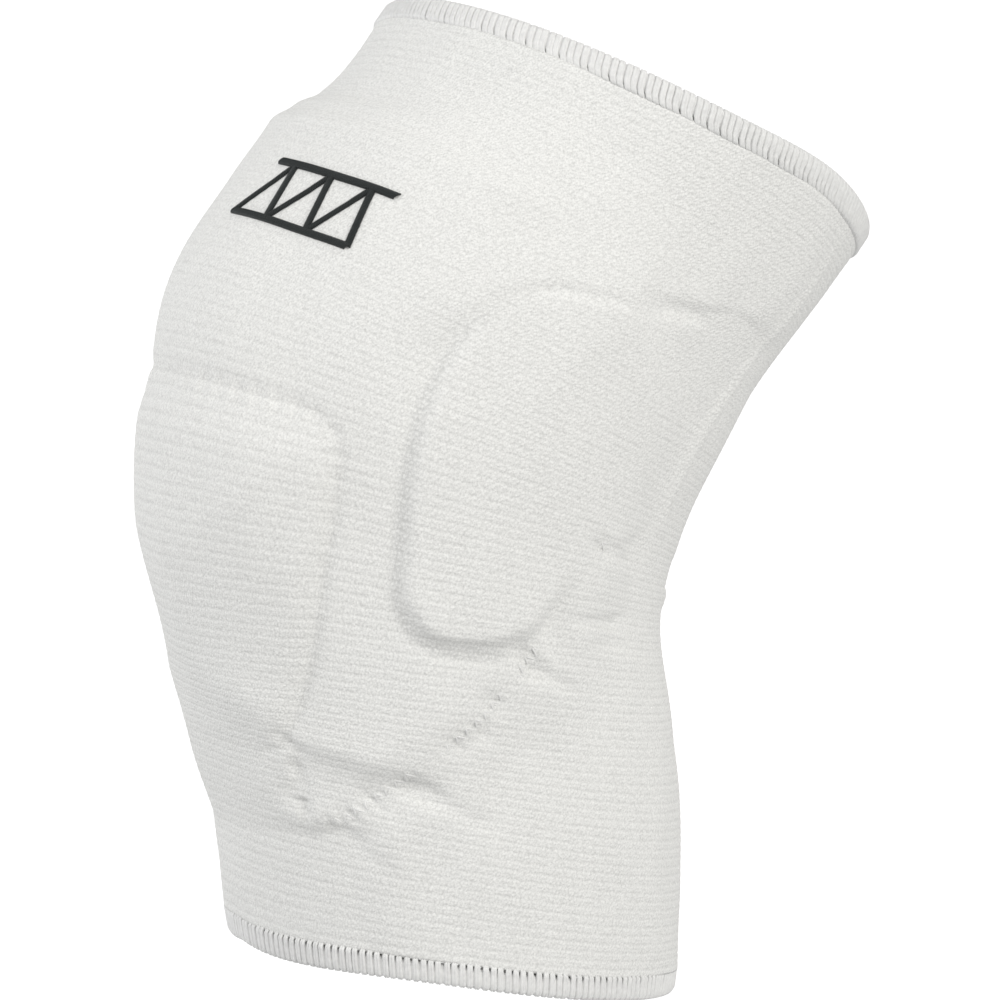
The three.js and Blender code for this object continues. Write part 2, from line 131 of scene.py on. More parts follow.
# Sections of the leg from hem to hem: along is a share of the length, rise and setback are shares of
# the hem that the row names, depth and width shares of its girth, tilt a share of the thigh's tilt.
SECTION_COLUMNS = ("along", "hem", "rise", "setback", "girth", "depth", "width", "tilt")
SECTION_ROWS = [
    (0.0, SHIN_HEM, 1.0, 1.0, SHIN_GIRTH, 1.0, 1.0, 0.43),
    (0.15, SHIN_HEM, 0.69, 0.81, SHIN_GIRTH, 1.08, 1.01, 0.526),
    (0.3, SHIN_HEM, 0.394, 0.66, KNEE_GIRTH, 0.959, 1.01, 0.43),
    (0.45, SHIN_HEM, 0.085, 0.0, KNEE_GIRTH, 1.008, 1.0, 0.58),
    (0.6, THIGH_HEM, 0.257, 0.076, KNEE_GIRTH, 1.112, 1.05, 0.825),
    (0.75, THIGH_HEM, 0.557, 0.374, THIGH_GIRTH, 1.021, 0.9, 0.87),
    (0.9, THIGH_HEM, 0.821, 0.761, THIGH_GIRTH, 0.996, 0.96, 0.955),
    (1.0, THIGH_HEM, 1.0, 1.0, THIGH_GIRTH, 1.0, 1.0, 1.0),
]

# Where the two rims leave their planes: the edge of the tube, the angle in degrees on both sides of
# the front, the spread of the wave in degrees and its rise.
RIM_REACH = 0.2
RIM_WAVES = [(0, 15.0, 35.0, -3.6), (1, 118.0, 25.0, 3.0)]

# Outlines on the flat map: shares across and along, and the radius of the corner
PANEL_CORNERS = [(0.34, 0.0, 8.0), (1.0, 0.55, 26.0), (1.0, 0.765, 22.0), (0.7, 1.0, 12.0)]
KNEE_PAD_CORNERS = [(0.545, 0.0, 5.0), (0.96, 0.79, 24.0), (1.0, 1.0, 14.0)]
THIGH_PAD_CORNERS = [(1.0, 0.0, 10.0), (0.94, 1.0, 16.0)]
SIDE_PAD_CORNERS = [
    (0.0, 0.0, 9.0),
    (0.45, 0.0, 10.0),
    (1.0, 0.4, 25.0),
    (1.0, 0.71, 15.0),
    (0.8, 0.985, 8.0),
    (0.15, 0.9, 16.0),
]
# The knit bends a little off the side pad's own edge: wider at the foot, narrower at the head
SIDE_STEP_CORNERS = [(-0.12, -0.025, 17.0)] + SIDE_PAD_CORNERS[1:5] + [(0.2, 0.9, 16.0)]

# Folds that the bend of the knee presses into the knit, as shares of half the girth and the length
FOLD_WIDTH = 5.0
FOLD_DEPTH = 1.3
HALF_GIRTH = math.pi * (KNEE_GIRTH["depth"] + KNEE_GIRTH["width"]) / 4
FOLDS = [
    ((0.66, 0.425), (1.02, 0.44), 1.0),
    ((0.74, 0.52), (1.02, 0.505), 0.8),
    ((0.74, 0.795), (0.86, 0.8), 0.6),
]

# What the seams do to the knit: a groove along each pad's seam, and puckers along the panel's
GROOVE_WIDTH = 1.4
CAP_GROOVE = 0.95
CAP_GROOVE_LOSS = 0.35
CAP_SLOPE = 12.0
SIDE_GROOVE = 0.3
SIDE_GROOVE_ABOVE = 0.35
SIDE_GROOVE_BELL = (-0.6, GROOVE_WIDTH)
SIDE_EDGE = 3.8
SCALLOP_PITCH = 4.6
SCALLOP_DEPTH = 0.35
SCALLOP_BELL = (1.0, 2.4)
SCALLOP_LEAST = 0.25
PUCKER_PITCH = 3.4
PUCKER_REACH = 2.6
PUCKER_DEPTH = 0.5
PUCKER_LEVEL = 0.3
PUCKER_LEAST = 0.06
PUCKER_GATHERED = 0.85
GATHER_REACH = 5.0
BACK_SEAM = ((144.0, 118.0), (153.0, 227.0))
BACK_SEAM_HEIGHT = 0.85
BACK_SEAM_WIDTH = 1.7
BACK_SEAM_FADE = 4.0

# Where the cloth hangs clear of what it covers. A pair such as BEHIND is an edge on the flat map and
# the length over which it takes hold. FOOT is the slope below the kneecap pad. BEHIND and ABOVE lie
# round a side pad, CORNER and HEAD at the panel's edge. SHARP is the step of a side pad's seam, and
# TUCK lies under the strip between the pads.
FOOT_START = 25.0
FOOT_RUN = 45.0
FOOT_LIFT = 10.2
FOOT_BEND = 1.25
FOOT_SIDE = (34.0, 14.0)
FOOT_HEM = (20.0, 7.0)
FOOT_TOP = (76.0, 16.0)
SLACK = 22.0
SLACK_SHARE = 0.75
SLACK_IN_PAD = 8.0
SLACK_IN_PANEL = 2.0
BEHIND = (94.0, 12.0)
BEHIND_FOOT = (96.0, 14.0)
BEHIND_TOP = (188.0, 28.0)
ABOVE = (146.0, 20.0)
CORNER_SIDE = (44.0, 12.0)
CORNER_TOP = (114.0, 14.0)
HEAD_NEAR = (22.0, 22.0)
HEAD_FOOT = (176.0, 12.0)
HEAD_FAR = (118.0, 20.0)
CORNER_SLOPE = (-9.0, 18.0)
CORNER_FAR = (BRIDGE_REACH, 27.0)
TOP_SEAM = (118.0, 8.0)
SHARP_FOOT = (98.0, 8.0)
SHARP_LOSS = 1.6
TUCK_ALONG = 53.0
TUCK_FALL = 0.16
TUCK_DEPTH = 1.3
TUCK_NEAR = (27.0, 5.0)
TUCK_FAR = (60.0, 6.0)
TUCK_ABOVE = (-2.5, 7.0)
TUCK_BELOW = (-17.0, 14.0)
SHOULDER_LIFT = 1.6
SHOULDER_BELL = (200.0, 8.0)
SHOULDER_FAR = (66.0, 40.0)
LEAST_LIFT = 0.15

# Places where the stitches gather the knit: arc, along, reach and depth
DIMPLES = [
    (57.3, 47.6, 3.2, 2.2),
    (61.5, 46.4, 3.0, 2.4),
    (67.8, 62.0, 3.0, 1.3),
    (72.7, 66.1, 3.0, 1.2),
    (76.2, 74.3, 3.0, 1.2),
    (40.2, 31.0, 3.4, 1.8),
    (42.6, 36.9, 2.6, 1.1),
    (30.0, 38.6, 3.0, 1.2),
    (48.5, 42.1, 2.8, 1.0),
    (85.9, 88.3, 3.0, 1.4),
    (88.4, 83.7, 2.8, 1.3),
    (112.9, 119.9, 3.0, 1.3),
    (21.0, 50.0, 9.0, 1.2),
    (33.0, 25.0, 12.0, 1.3),
]

# Creases in the knit: both ends as arc and along, width and depth. The lips on both sides of one are
# LIP_WIDTH times as wide, and rise higher from LIP_BACK on.
CREASES = [
    ((30.4, 50.0), (32.5, 33.0), 1.3, 1.3),
    ((26.0, 57.0), (33.0, 51.0), 1.5, 1.0),
    ((98.0, 98.5), (150.0, 103.5), 2.2, 0.8),
    ((104.0, 93.5), (168.0, 96.5), 2.4, 0.7),
    ((112.9, 119.9), (166.0, 116.0), 2.2, 0.8),
    ((112.9, 119.9), (150.0, 128.0), 2.0, 0.45),
    ((104.8, 182.6), (141.0, 189.5), 2.6, 0.9),
    ((61.5, 46.4), (76.0, 41.0), 2.6, 0.6),
    ((42.0, 30.0), (53.0, 24.0), 2.4, 0.35),
    ((86.0, 86.0), (99.0, 80.0), 2.2, 0.6),
]
LIP_WIDTH = 2.6
VALLEY_DEPTH = 0.9
LIP_HEIGHT = 0.15
LIP_RISE = 0.55
LIP_BACK = (70.0, 10.0)
CREASE_FADE = 5.0
CREASE_END = 0.3

# Slow unevenness of worn cloth
WAVE_LENGTHS = (70.0, 47.0, 33.0, 24.0, 17.0)
WAVE_SEED = 11
WAVE_STRETCH = 0.9
WAVE_HEIGHT = 0.0055
WAVE_LIFT = 0.25

# Painted shade in the gaps between the knit's loops, where they stand open: along the front edge of a
# side pad, which faces away from the light, at its foot, where the edge faces down, and along the
# kneecap pad's seam. A bell has its middle inside the pad's outline and a width. The ribs fade on the
# thigh and come back at its hem: shares of the length.
GAP_SHADE_FRONT = 0.85
GAP_SHADE_FRONT_FAR = (84.0, 12.0)
GAP_SHADE_FRONT_BELL = (0.8, 1.1)
GAP_SHADE_FOOT = 0.2
GAP_SHADE_FOOT_TOP = (96.0, 8.0)
GAP_SHADE_FOOT_FAR = (98.0, 12.0)
GAP_SHADE_FOOT_BELL = (2.0, 2.4)
GAP_SHADE_CAP = 0.3
GAP_SHADE_CAP_BELL = (0.0, 1.0)
RIBS_FADE = (0.5, 0.28)
RIBS_LOST = 0.7
RIBS_BACK = (0.84, 0.1)
RIBS_AT_HEM = 0.4

# The knit's loops as cells of a grid, two rows to a rib. Scales of noise are for metres.
# LOOP_CONTRAST is how far the yarn's colour darkens: painted shade in the gaps between loops and in
# the ribs' grooves, and specks of random tone.
LOOP_CONTRAST = 0.27
LOOP_SHAKE = 0.4
LOOP_SHAKE_SCALE = 300.0
LOOP_LEAN = 0.6
LOOP_FALL = 1.5
LOOP_SHARPNESS = 1.6
LOOPS_ON_THIGH = 0.8
LOOPS_ON_RIBS = 0.55
# Shares of the painted shade in the gaps between loops, where they are shut and where they stand open
LOOP_GAP_SHADE_SHUT = 0.5
LOOP_GAP_SHADE_OPEN = 0.95
PATCH_SCALE = 160.0
FIBRE_SCALE = 2100.0
SPECK_SCALE = 2400.0
SPECK = 0.9
LOOP_RELIEF = 0.45
FIBRE_RELIEF = 0.6
GROOVE_RELIEF = 0.3
# Painted shade in each rib's groove
GROOVE_PAINTED_SHADE = 0.45

# The other finishes: the scale of the noise, shares of the colour, and the relief in millimetres
LINING_SCALE = 900.0
LINING_SHADE = 0.88
LINING_RELIEF = 0.25
THREAD_SHADES = (0.8, 1.1)
THREAD_RELIEF = 0.1
FOAM_SCALE = 900.0
FOAM_SHADE = 0.9
FOAM_RELIEF = 0.3

# The roll of a hem and its overlock stitches: the needle's reach and depth in millimetres, offsets and
# shake as shares of a stitch, and insets as shares of a strand's thickness. A strand swells from
# STRAND_LEAST of it at the needle row by STRAND_SWELL to the open edge. There is a seed for each way
# inwards.
HEM_SQUARED = 0.6
STITCH_SEEDS = {1: 4, -1: 5}
NEEDLE_REACH = 0.9
NEEDLE_DEPTH = 0.1
STRAND_LEAST = 0.88
STRAND_SWELL = 0.3
STRAND_OFFSETS = (-0.15, 0.15)
STRAND_SHAKE = 0.12
STRAND_INSET = 0.36
ROLL_INSET = 0.27
ROLL_COLUMNS = 240
ROLL_CORNERS = 12
STRAND_STEPS = 13
NEEDLE_SHARPNESS = 12

# The panel's rim and its zigzag seam, and the step that its area is worked out with
PANEL_RIM = 4.0
SEAM_SWING = 1.3
SEAM_STEP = 1.7
SEAM_HEIGHT = 0.1
SEAM_DEPTH = 0.5
SEAM_GATHERED = 0.32
SEAM_SIDE = (36.0, 8.0)
SEAM_THREAD = 0.31
SEAM_STEPS = 6

# The motif's satin stitch
SATIN_SPACING = 0.36
SATIN_SLANT = 0.25
SATIN_THREAD = 0.24
SATIN_FOOT = 0.1
CORD_HEIGHT = 0.55
LACE_HEIGHT = 0.4
LACE_SHARE = 0.8
SATIN_STEPS = 7

# The studio. A light has an azimuth and an elevation in degrees, a distance and a size in metres, its
# power in watts and its colour.
PICTURE_MIDDLE = (0.0, 21.5, 4.0)
PICTURE_PIXELS = 1000
SENSOR = 36.0
SKY_BELOW = 0.55
SKY_ABOVE = 0.63
LIGHTS = {
    "key": (8.0, 27.0, 1.6, 0.9, 7.2, (1.0, 1.0, 1.0)),
    "fill": (106.0, 20.0, 1.8, 1.4, 16.0, (1.0, 0.985, 0.95)),
    "front": (-40.0, -6.0, 1.8, 1.2, 7.0, (0.97, 0.98, 1.0)),
}
FLOOR_NEAR = 2.0
FLOOR_REACH = 3.0
FLOOR_SIDE = 6.0
WALL_BEND = 0.8
WALL_HEIGHT = 3.0


def measured_sections():
    """SECTION_ROWS as columns of real sizes."""
    rows = [dict(zip(SECTION_COLUMNS, row)) for row in SECTION_ROWS]
    return {
        "along": np.array([r["along"] for r in rows]),
        "up": np.array([r["rise"] * r["hem"]["rise"] for r in rows]),
        "back": np.array([r["setback"] * r["hem"]["setback"] for r in rows]),
        "depth": np.array([r["depth"] * r["girth"]["depth"] for r in rows]),
        "width": np.array([r["width"] * r["girth"]["width"] for r in rows]),
        "tilt": np.radians([r["tilt"] * THIGH_TILT for r in rows]),
    }


SECTIONS = measured_sections()


def section_value(column, t):
    """A cubic between each two rows of a column. Its slope at a row is the mean of the slopes on
    both sides, the nearer row weighing more."""
    knots, values = SECTIONS["along"], SECTIONS[column]
    step = np.diff(knots)
    rise = np.diff(values) / step
    inner = (rise[:-1] * step[1:] + rise[1:] * step[:-1]) / (step[1:] + step[:-1])
    first = 1.5 * rise[0] - 0.5 * inner[0]
    last = 1.5 * rise[-1] - 0.5 * inner[-1]
    slope = np.concatenate([[first], inner, [last]])
    i = np.clip(np.searchsorted(knots, t, side="right") - 1, 0, len(step) - 1)
    u = (t - knots[i]) / step[i]
    return (
        (1 + 2 * u) * (1 - u) ** 2 * values[i]
        + u * (1 - u) ** 2 * step[i] * slope[i]
        + u * u * (3 - 2 * u) * values[i + 1]
        + u * u * (u - 1) * step[i] * slope[i + 1]
    )


def rim_wave(angle, t):
    """Each wave is a bell round the leg, and dies away along the tube from its own rim."""
    turned = np.degrees(np.abs(np.arctan2(np.sin(angle), np.cos(angle))))
    rise = 0.0
    for edge, at, spread, height in RIM_WAVES:
        fade = np.maximum(0, 1 - np.abs(t - edge) / RIM_REACH) ** 2
        rise = rise + height * fade * hill(turned - at, spread)
    return rise


def leg_point(angle, t):
    """The skin of the leg: an oval across each section, tipped up at the front."""
    forward = section_value("depth", t) / 2 * np.cos(angle)
    tilt = section_value("tilt", t)
    return np.stack(
        [
            section_value("width", t) / 2 * np.sin(angle),
            section_value("back", t) - forward * np.cos(tilt),
            section_value("up", t) + forward * np.sin(tilt) + rim_wave(angle, t),
        ],
        axis=-1,
    )


def ramp(x):
    """0 to 1 with level ends."""
    x = np.clip(x, 0, 1)
    return x * x * (3 - 2 * x)


def crown(x):
    """Rises from 0 to 1 and levels off."""
    return 1 - (1 - np.clip(x, 0, 1)) ** 2


def hill(x, width):
    """A bell, 1 at its middle."""
    return np.exp(-((x / width) ** 2))


def unit(vectors):
    """Vectors of length 1 the same way."""
    return vectors / np.maximum(np.linalg.norm(vectors, axis=-1, keepdims=True), 1e-9)


def leg_normal(angle, t):
    """Square to the skin, outwards: the cross product of the ways round and up."""
    way_round = leg_point(angle + SMALL, t) - leg_point(angle - SMALL, t)
    way_up = leg_point(angle, t + SMALL) - leg_point(angle, t - SMALL)
    return unit(np.cross(way_round, way_up))


def lifted(angle, t, height):
    """The point a height above the skin."""
    return leg_point(angle, t) + leg_normal(angle, t) * np.asarray(height)[..., None]


def stretch_along(angle, t):
    """How many millimetres a whole length covers at this place."""
    way = leg_point(angle, t + SMALL) - leg_point(angle, t - SMALL)
    return np.linalg.norm(way, axis=-1) / (2 * SMALL)


def around(angle, t):
    """Arc length from the middle of the front, on an oval that is nearly round."""
    deep, wide = section_value("depth", t) / 2, section_value("width", t) / 2
    return (deep + wide) / 2 * angle - (deep - wide) / 4 * np.sin(2 * angle)


def angle_at(arc, t):
    """The angle whose arc length is given, closed in on in a few steps."""
    mean = (section_value("depth", t) + section_value("width", t)) / 4
    angle = arc / mean
    for _ in range(4):
        angle = angle + (arc - around(angle, t)) / mean
    return angle


def on_knit(arc, along, height):
    """The point at a place on the flat map and a height above the skin."""
    t = along / SLEEVE_LENGTH
    return lifted(angle_at(arc, t), t, height)


def out_of_knit(arc, along):
    """The way off the cloth at a place on the flat map."""
    t = along / SLEEVE_LENGTH
    return leg_normal(angle_at(arc, t), t)


def mirrored(corners):
    """The corners on one side of the front, and the same on the other."""
    return corners + [(-across, along, radius) for across, along, radius in reversed(corners)]


def rounded_outline(corners, near, far, foot, top, steps=8):
    """A closed outline whose corners are quadratic curves that start and end one radius away."""
    at = np.array([(near + a * (far - near), foot + b * (top - foot)) for a, b, _ in corners])
    points = []
    for i, (_, _, radius) in enumerate(corners):
        start, end = (
            at[i] + way / np.linalg.norm(way) * min(radius, np.linalg.norm(way) / 2)
            for way in (at[i - 1] - at[i], at[(i + 1) % len(at)] - at[i])
        )
        u = np.linspace(0, 1, steps + 1)[:, None]
        points.append((1 - u) ** 2 * start + 2 * u * (1 - u) * at[i] + u * u * end)
    return np.concatenate(points)


def evenly(outline, spacing):
    """The closed outline again, with points a spacing apart and a whole number of them."""
    closed = np.vstack([outline, outline[:1]])
    run = np.concatenate([[0], np.cumsum(np.linalg.norm(np.diff(closed, axis=0), axis=1))])
    count = max(3, int(round(run[-1] / spacing)))
    at = np.arange(count) * run[-1] / count
    return np.stack([np.interp(at, run, closed[:, 0]), np.interp(at, run, closed[:, 1])], axis=1)


def pushed_in(outline, inset):
    """The outline moved to its inner side, which lies on the left of its way."""
    along = np.roll(outline, -1, axis=0) - np.roll(outline, 1, axis=0)
    inwards = unit(np.stack([-along[:, 1], along[:, 0]], axis=1))
    return outline + inset * inwards


PANEL = rounded_outline(mirrored(PANEL_CORNERS), 0, PANEL_REACH, PANEL_FOOT, PANEL_TOP)
KNEE_PAD = rounded_outline(
    mirrored(KNEE_PAD_CORNERS), 0, KNEE_PAD_WIDTH / 2, KNEE_PAD_FOOT, KNEE_PAD_TOP
)
THIGH_PAD = rounded_outline(
    mirrored(THIGH_PAD_CORNERS), 0, THIGH_PAD_WIDTH / 2, THIGH_PAD_FOOT, THIGH_PAD_TOP
)
SIDE_PAD = rounded_outline(
    SIDE_PAD_CORNERS, SIDE_PAD_NEAR, SIDE_PAD_FAR, SIDE_PAD_FOOT, SIDE_PAD_TOP
)
SIDE_STEP = rounded_outline(
    SIDE_STEP_CORNERS, SIDE_PAD_NEAR, SIDE_PAD_FAR, SIDE_PAD_FOOT, SIDE_PAD_TOP
)


def edge_place(outline, x, y):
    """Distance inside a closed outline, less than zero outside it, and how far round the outline
    its nearest point lies."""
    x, y = np.broadcast_arrays(np.asarray(x, float), np.asarray(y, float))
    nearest = np.full(x.shape, np.inf)
    place = np.zeros(x.shape)
    inside = np.zeros(x.shape, bool)
    run = 0.0
    for a, b in zip(outline, np.roll(outline, -1, axis=0)):
        way = b - a
        length = float(np.hypot(*way))
        if length == 0:
            continue
        share = np.clip(((x - a[0]) * way[0] + (y - a[1]) * way[1]) / length**2, 0, 1)
        away = np.hypot(a[0] + share * way[0] - x, a[1] + share * way[1] - y)
        closer = away < nearest
        nearest = np.where(closer, away, nearest)
        place = np.where(closer, run + share * length, place)
        if way[1] != 0:
            crossing = (a[1] > y) != (b[1] > y)
            inside ^= crossing & (x < a[0] + (y - a[1]) / way[1] * way[0])
        run += length
    return np.where(inside, nearest, -nearest), place


def away_from_line(x, y, start, end):
    """Distance from the stretch between two places, and the share of the stretch passed."""
    way = np.subtract(end, start)
    share = np.clip(((x - start[0]) * way[0] + (y - start[1]) * way[1]) / way.dot(way), 0, 1)
    return np.hypot(start[0] + share * way[0] - x, start[1] + share * way[1] - y), share


def fold_depth(arc, along):
    """Each fold is a valley with a bell-shaped section along a straight line on the map."""
    depth = np.zeros(np.shape(arc))
    scale = np.array([HALF_GIRTH, SLEEVE_LENGTH])
    for start, end, share in FOLDS:
        away, _ = away_from_line(np.abs(arc), along, start * scale, end * scale)
        depth += share * FOLD_DEPTH * hill(away, FOLD_WIDTH)
    return depth


def after(x, edge):
    """0 up to an edge's start and 1 from its length beyond it."""
    start, length = edge
    return ramp((x - start) / length)


def before(x, edge):
    """1 up to a length before an edge's end, and 0 beyond it."""
    end, length = edge
    return ramp((end - x) / length)


def bell(x, place):
    """1 at a place's middle, and less with the distance from it in widths."""
    middle, width = place
    return hill(x - middle, width)


class Place:
    """Points of the flat map: how far inside each outline they lie, the way run round it, and their
    share, 0 to 1, in the stretches where the cloth hangs."""

    def __init__(self, arc, along):
        self.arc, self.side, self.along = arc, np.abs(arc), along
        self.panel, self.panel_run = edge_place(PANEL, self.side, along)
        self.knee, self.knee_run = edge_place(KNEE_PAD, self.side, along)
        self.flank, _ = edge_place(SIDE_STEP, self.side, along)
        self.foot = before(self.side, FOOT_SIDE) * after(along, FOOT_HEM) * before(along, FOOT_TOP)
        self.behind = after(self.side, BEHIND)
        self.above = after(along, ABOVE)
        self.slack = 1 - (1 - self.behind) * (1 - self.above)
        self.corner = after(self.side, CORNER_SIDE) * before(along, CORNER_TOP)
        self.top_seam = after(along, TOP_SEAM)


def knit_lift(at):
    """Height of the knit's inner face: the panel, the tent between the pads, and the pads, each
    with a smooth step at its edge and a crown that grows towards its middle, less the folds."""
    knee_reach = (KNEE_PAD_TOP - KNEE_PAD_FOOT) / 2
    flank_reach = (SIDE_PAD_FAR - SIDE_PAD_NEAR) / 2
    tent = (
        ramp((at.along - BRIDGE_FOOT) / BRIDGE_SLOPE)
        * (1 - ramp((at.along - BRIDGE_HEAD) / knee_reach + 1)
           * ramp((at.side - THIGH_PAD_WIDTH / 2) / BRIDGE_TAPER))
        * (1 - ramp((at.side - BRIDGE_REACH + flank_reach) / flank_reach))
        * ramp(at.panel / PANEL_EDGE)
    )
    return (
        (PANEL_WALL + PANEL_EASE) * ramp((at.panel + PANEL_HEM) / PANEL_EDGE)
        + BRIDGE_LIFT * tent
        + KNEE_PAD_STEP * ramp(at.knee / PAD_EDGE)
        + KNEE_PAD_CROWN * crown(at.knee / knee_reach)
        + SIDE_PAD_STEP * ramp(at.flank / PAD_EDGE)
        + SIDE_PAD_CROWN * crown(at.flank / flank_reach)
        - fold_depth(at.arc, at.along)
    )


def foot_slope(along):
    """The height of the cloth between the shin and the kneecap pad: a power of the share left."""
    left = np.clip(1 - (along - FOOT_START) / FOOT_RUN, 0, 1)
    return FOOT_LIFT * (1 - left**FOOT_BEND)


def slack_lift(at):
    """A long slope less the short step that it takes the place of: behind and above a side pad, at
    the loose stretches of the panel's edge, and at the lower corner of the tent."""
    hang = after(at.flank, (-SLACK, SLACK + SLACK_IN_PAD)) - ramp(at.flank / PAD_EDGE)
    lift = SLACK_SHARE * (SIDE_PAD_STEP + SIDE_PAD_CROWN) * at.slack * hang
    behind = at.behind * after(at.along, BEHIND_FOOT) * before(at.along, BEHIND_TOP)
    head = after(at.side, HEAD_NEAR) * after(at.along, HEAD_FOOT) * before(at.side, HEAD_FAR)
    loose = np.maximum(np.maximum(behind, at.corner), head)
    hang = after(at.panel, (-SLACK, SLACK + SLACK_IN_PANEL))
    hang -= ramp((at.panel + PANEL_HEM) / PANEL_EDGE)
    lift += (PANEL_WALL + PANEL_EASE) * loose * hang
    tent = after(at.panel, CORNER_SLOPE) - ramp(at.panel / PANEL_EDGE)
    tent *= before(at.side, CORNER_FAR) * ramp((at.along - BRIDGE_FOOT) / BRIDGE_SLOPE)
    return lift + BRIDGE_LIFT * at.corner * tent


def pad_seams(at):
    """The kneecap pad's seam is a groove with scallops inside it, and a longer slope at the head.
    The side pad's is a sharp step with a shallow groove outside it."""
    lift = KNEE_PAD_STEP * at.top_seam * (ramp(at.knee / CAP_SLOPE) - ramp(at.knee / PAD_EDGE))
    groove = CAP_GROOVE * (1 - CAP_GROOVE_LOSS * at.top_seam) * (1 - at.foot)
    lift -= groove * hill(at.knee, GROOVE_WIDTH)
    scallop = SCALLOP_DEPTH * np.cos(2 * math.pi * at.knee_run / SCALLOP_PITCH)
    scallop *= SCALLOP_LEAST + (1 - SCALLOP_LEAST) * at.top_seam
    lift += scallop * bell(at.knee, SCALLOP_BELL)
    sharp = (1 - at.slack) * (ramp(at.flank / SIDE_EDGE) - ramp(at.flank / PAD_EDGE))
    lift += SIDE_PAD_STEP * sharp * (1 - SHARP_LOSS * before(at.along, SHARP_FOOT))
    groove = (SIDE_GROOVE + SIDE_GROOVE_ABOVE * at.above) * (1 - at.behind)
    return lift - groove * bell(at.flank, SIDE_GROOVE_BELL)


def gathered(side, along):
    """How far the stitches draw the knit together, 0 to 1: most round the dimples."""
    share = np.zeros(np.shape(side))
    for dimple_arc, dimple_along, _, _ in DIMPLES:
        share += hill(np.hypot(side - dimple_arc, along - dimple_along), GATHER_REACH)
    return np.minimum(share, 1)


def panel_puckers(at):
    """A cosine of the way run round the panel's seam, which fades with the distance from it."""
    strength = PUCKER_LEAST + PUCKER_GATHERED * gathered(at.side, at.along)
    pucker = np.cos(2 * math.pi * at.panel_run / PUCKER_PITCH)
    return strength * PUCKER_DEPTH * hill(at.panel, PUCKER_REACH) * (pucker - PUCKER_LEVEL)


def tuck_lift(at):
    """A trough under the strip between the pads, along a line that falls towards the side."""
    window = after(at.side, TUCK_NEAR) * before(at.side, TUCK_FAR)
    above = at.along - TUCK_ALONG + TUCK_FALL * (at.side - TUCK_NEAR[0])
    return -TUCK_DEPTH * window * (1 - after(above, TUCK_ABOVE)) * after(above, TUCK_BELOW)


def gathers(at):
    """A bell for each dimple. For each crease a narrow valley less two wider lips, which fades at
    both its ends."""
    lift = np.zeros(np.shape(at.side))
    for arc, along, reach, depth in DIMPLES:
        lift -= depth * hill(np.hypot(at.side - arc, at.along - along), reach)
    lip = LIP_HEIGHT + LIP_RISE * after(at.side, LIP_BACK)
    for start, end, width, depth in CREASES:
        away, share = away_from_line(at.side, at.along, start, end)
        fade = ramp(share * CREASE_FADE) * ramp((1 - share) * CREASE_FADE + CREASE_END)
        valley = (VALLEY_DEPTH + lip) * hill(away, width)
        lift += depth * fade * (lip * hill(away, LIP_WIDTH * width) - valley)
    return lift


def soft_waves(arc, along):
    """A few long sines, each on its own slant, and as high as it is long times a share."""
    rng = np.random.default_rng(WAVE_SEED)
    waves = np.zeros(np.shape(arc))
    for length in WAVE_LENGTHS:
        slant, phase = rng.uniform(0, math.pi), rng.uniform(0, 2 * math.pi)
        way = np.cos(slant) * arc * WAVE_STRETCH + np.sin(slant) * along
        waves += WAVE_HEIGHT * length * np.sin(2 * math.pi * way / length + phase)
    return waves + WAVE_LIFT


def draped_lift(arc, along):
    """Height of the knit's inner face as the cloth really lies: the plain lift, which gives way to
    the slope below the kneecap pad, plus the slack, the seams, the puckers, the tuck, the gathers,
    the shoulder, the welt of the back seam and the waves. It stays above the leg and the panel."""
    at = Place(arc, along)
    lift = knit_lift(at)
    lift += at.foot * (foot_slope(along) - lift)
    lift += slack_lift(at) + pad_seams(at) + panel_puckers(at) + tuck_lift(at) + gathers(at)
    front = before(at.side, SHOULDER_FAR)
    lift += SHOULDER_LIFT * front * bell(along, SHOULDER_BELL)
    away, share = away_from_line(arc, along, *BACK_SEAM)
    lift += BACK_SEAM_HEIGHT * hill(away, BACK_SEAM_WIDTH) * ramp(share * BACK_SEAM_FADE)
    lift += soft_waves(arc, along)
    return np.maximum(lift, np.where(at.panel > PANEL_HEM - 1, PANEL_WALL + GAP, LEAST_LIFT))


def ribbed_share(along):
    """How clearly the ribs show: most on the shin, hardly on the thigh, and more again at its hem."""
    t = along / SLEEVE_LENGTH
    return 1 - RIBS_LOST * after(t, RIBS_FADE) + RIBS_AT_HEM * after(t, RIBS_BACK)


def gap_shade_share(arc, along):
    """How dark the painted shade in the gaps between the knit's loops is: most where it bends over the
    front edge of a side pad, where the loops stand open.
    """
    at = Place(arc, along)
    front = before(at.side, GAP_SHADE_FRONT_FAR) * bell(at.flank, GAP_SHADE_FRONT_BELL)
    foot = before(along, GAP_SHADE_FOOT_TOP) * before(at.side, GAP_SHADE_FOOT_FAR)
    foot *= bell(at.flank, GAP_SHADE_FOOT_BELL)
    cap = GAP_SHADE_CAP * bell(at.knee, GAP_SHADE_CAP_BELL)
    return np.maximum(GAP_SHADE_FRONT * front, GAP_SHADE_FOOT * foot) + cap


def knit_columns(count):
    """The angles of the columns of the knit, which lie closer at the front, where the pads are."""
    turn = np.linspace(-math.pi, math.pi, count, endpoint=False)
    return turn - FRONT_CROWDING * np.sin(turn)


def knit_ends(angle):
    """The knit runs from hem to hem, short of each by the hem's height and a gap."""
    end = HEM_HEIGHT + GAP
    return end / stretch_along(angle, 0.0 * angle), 1 - end / stretch_along(angle, 1 + 0.0 * angle)


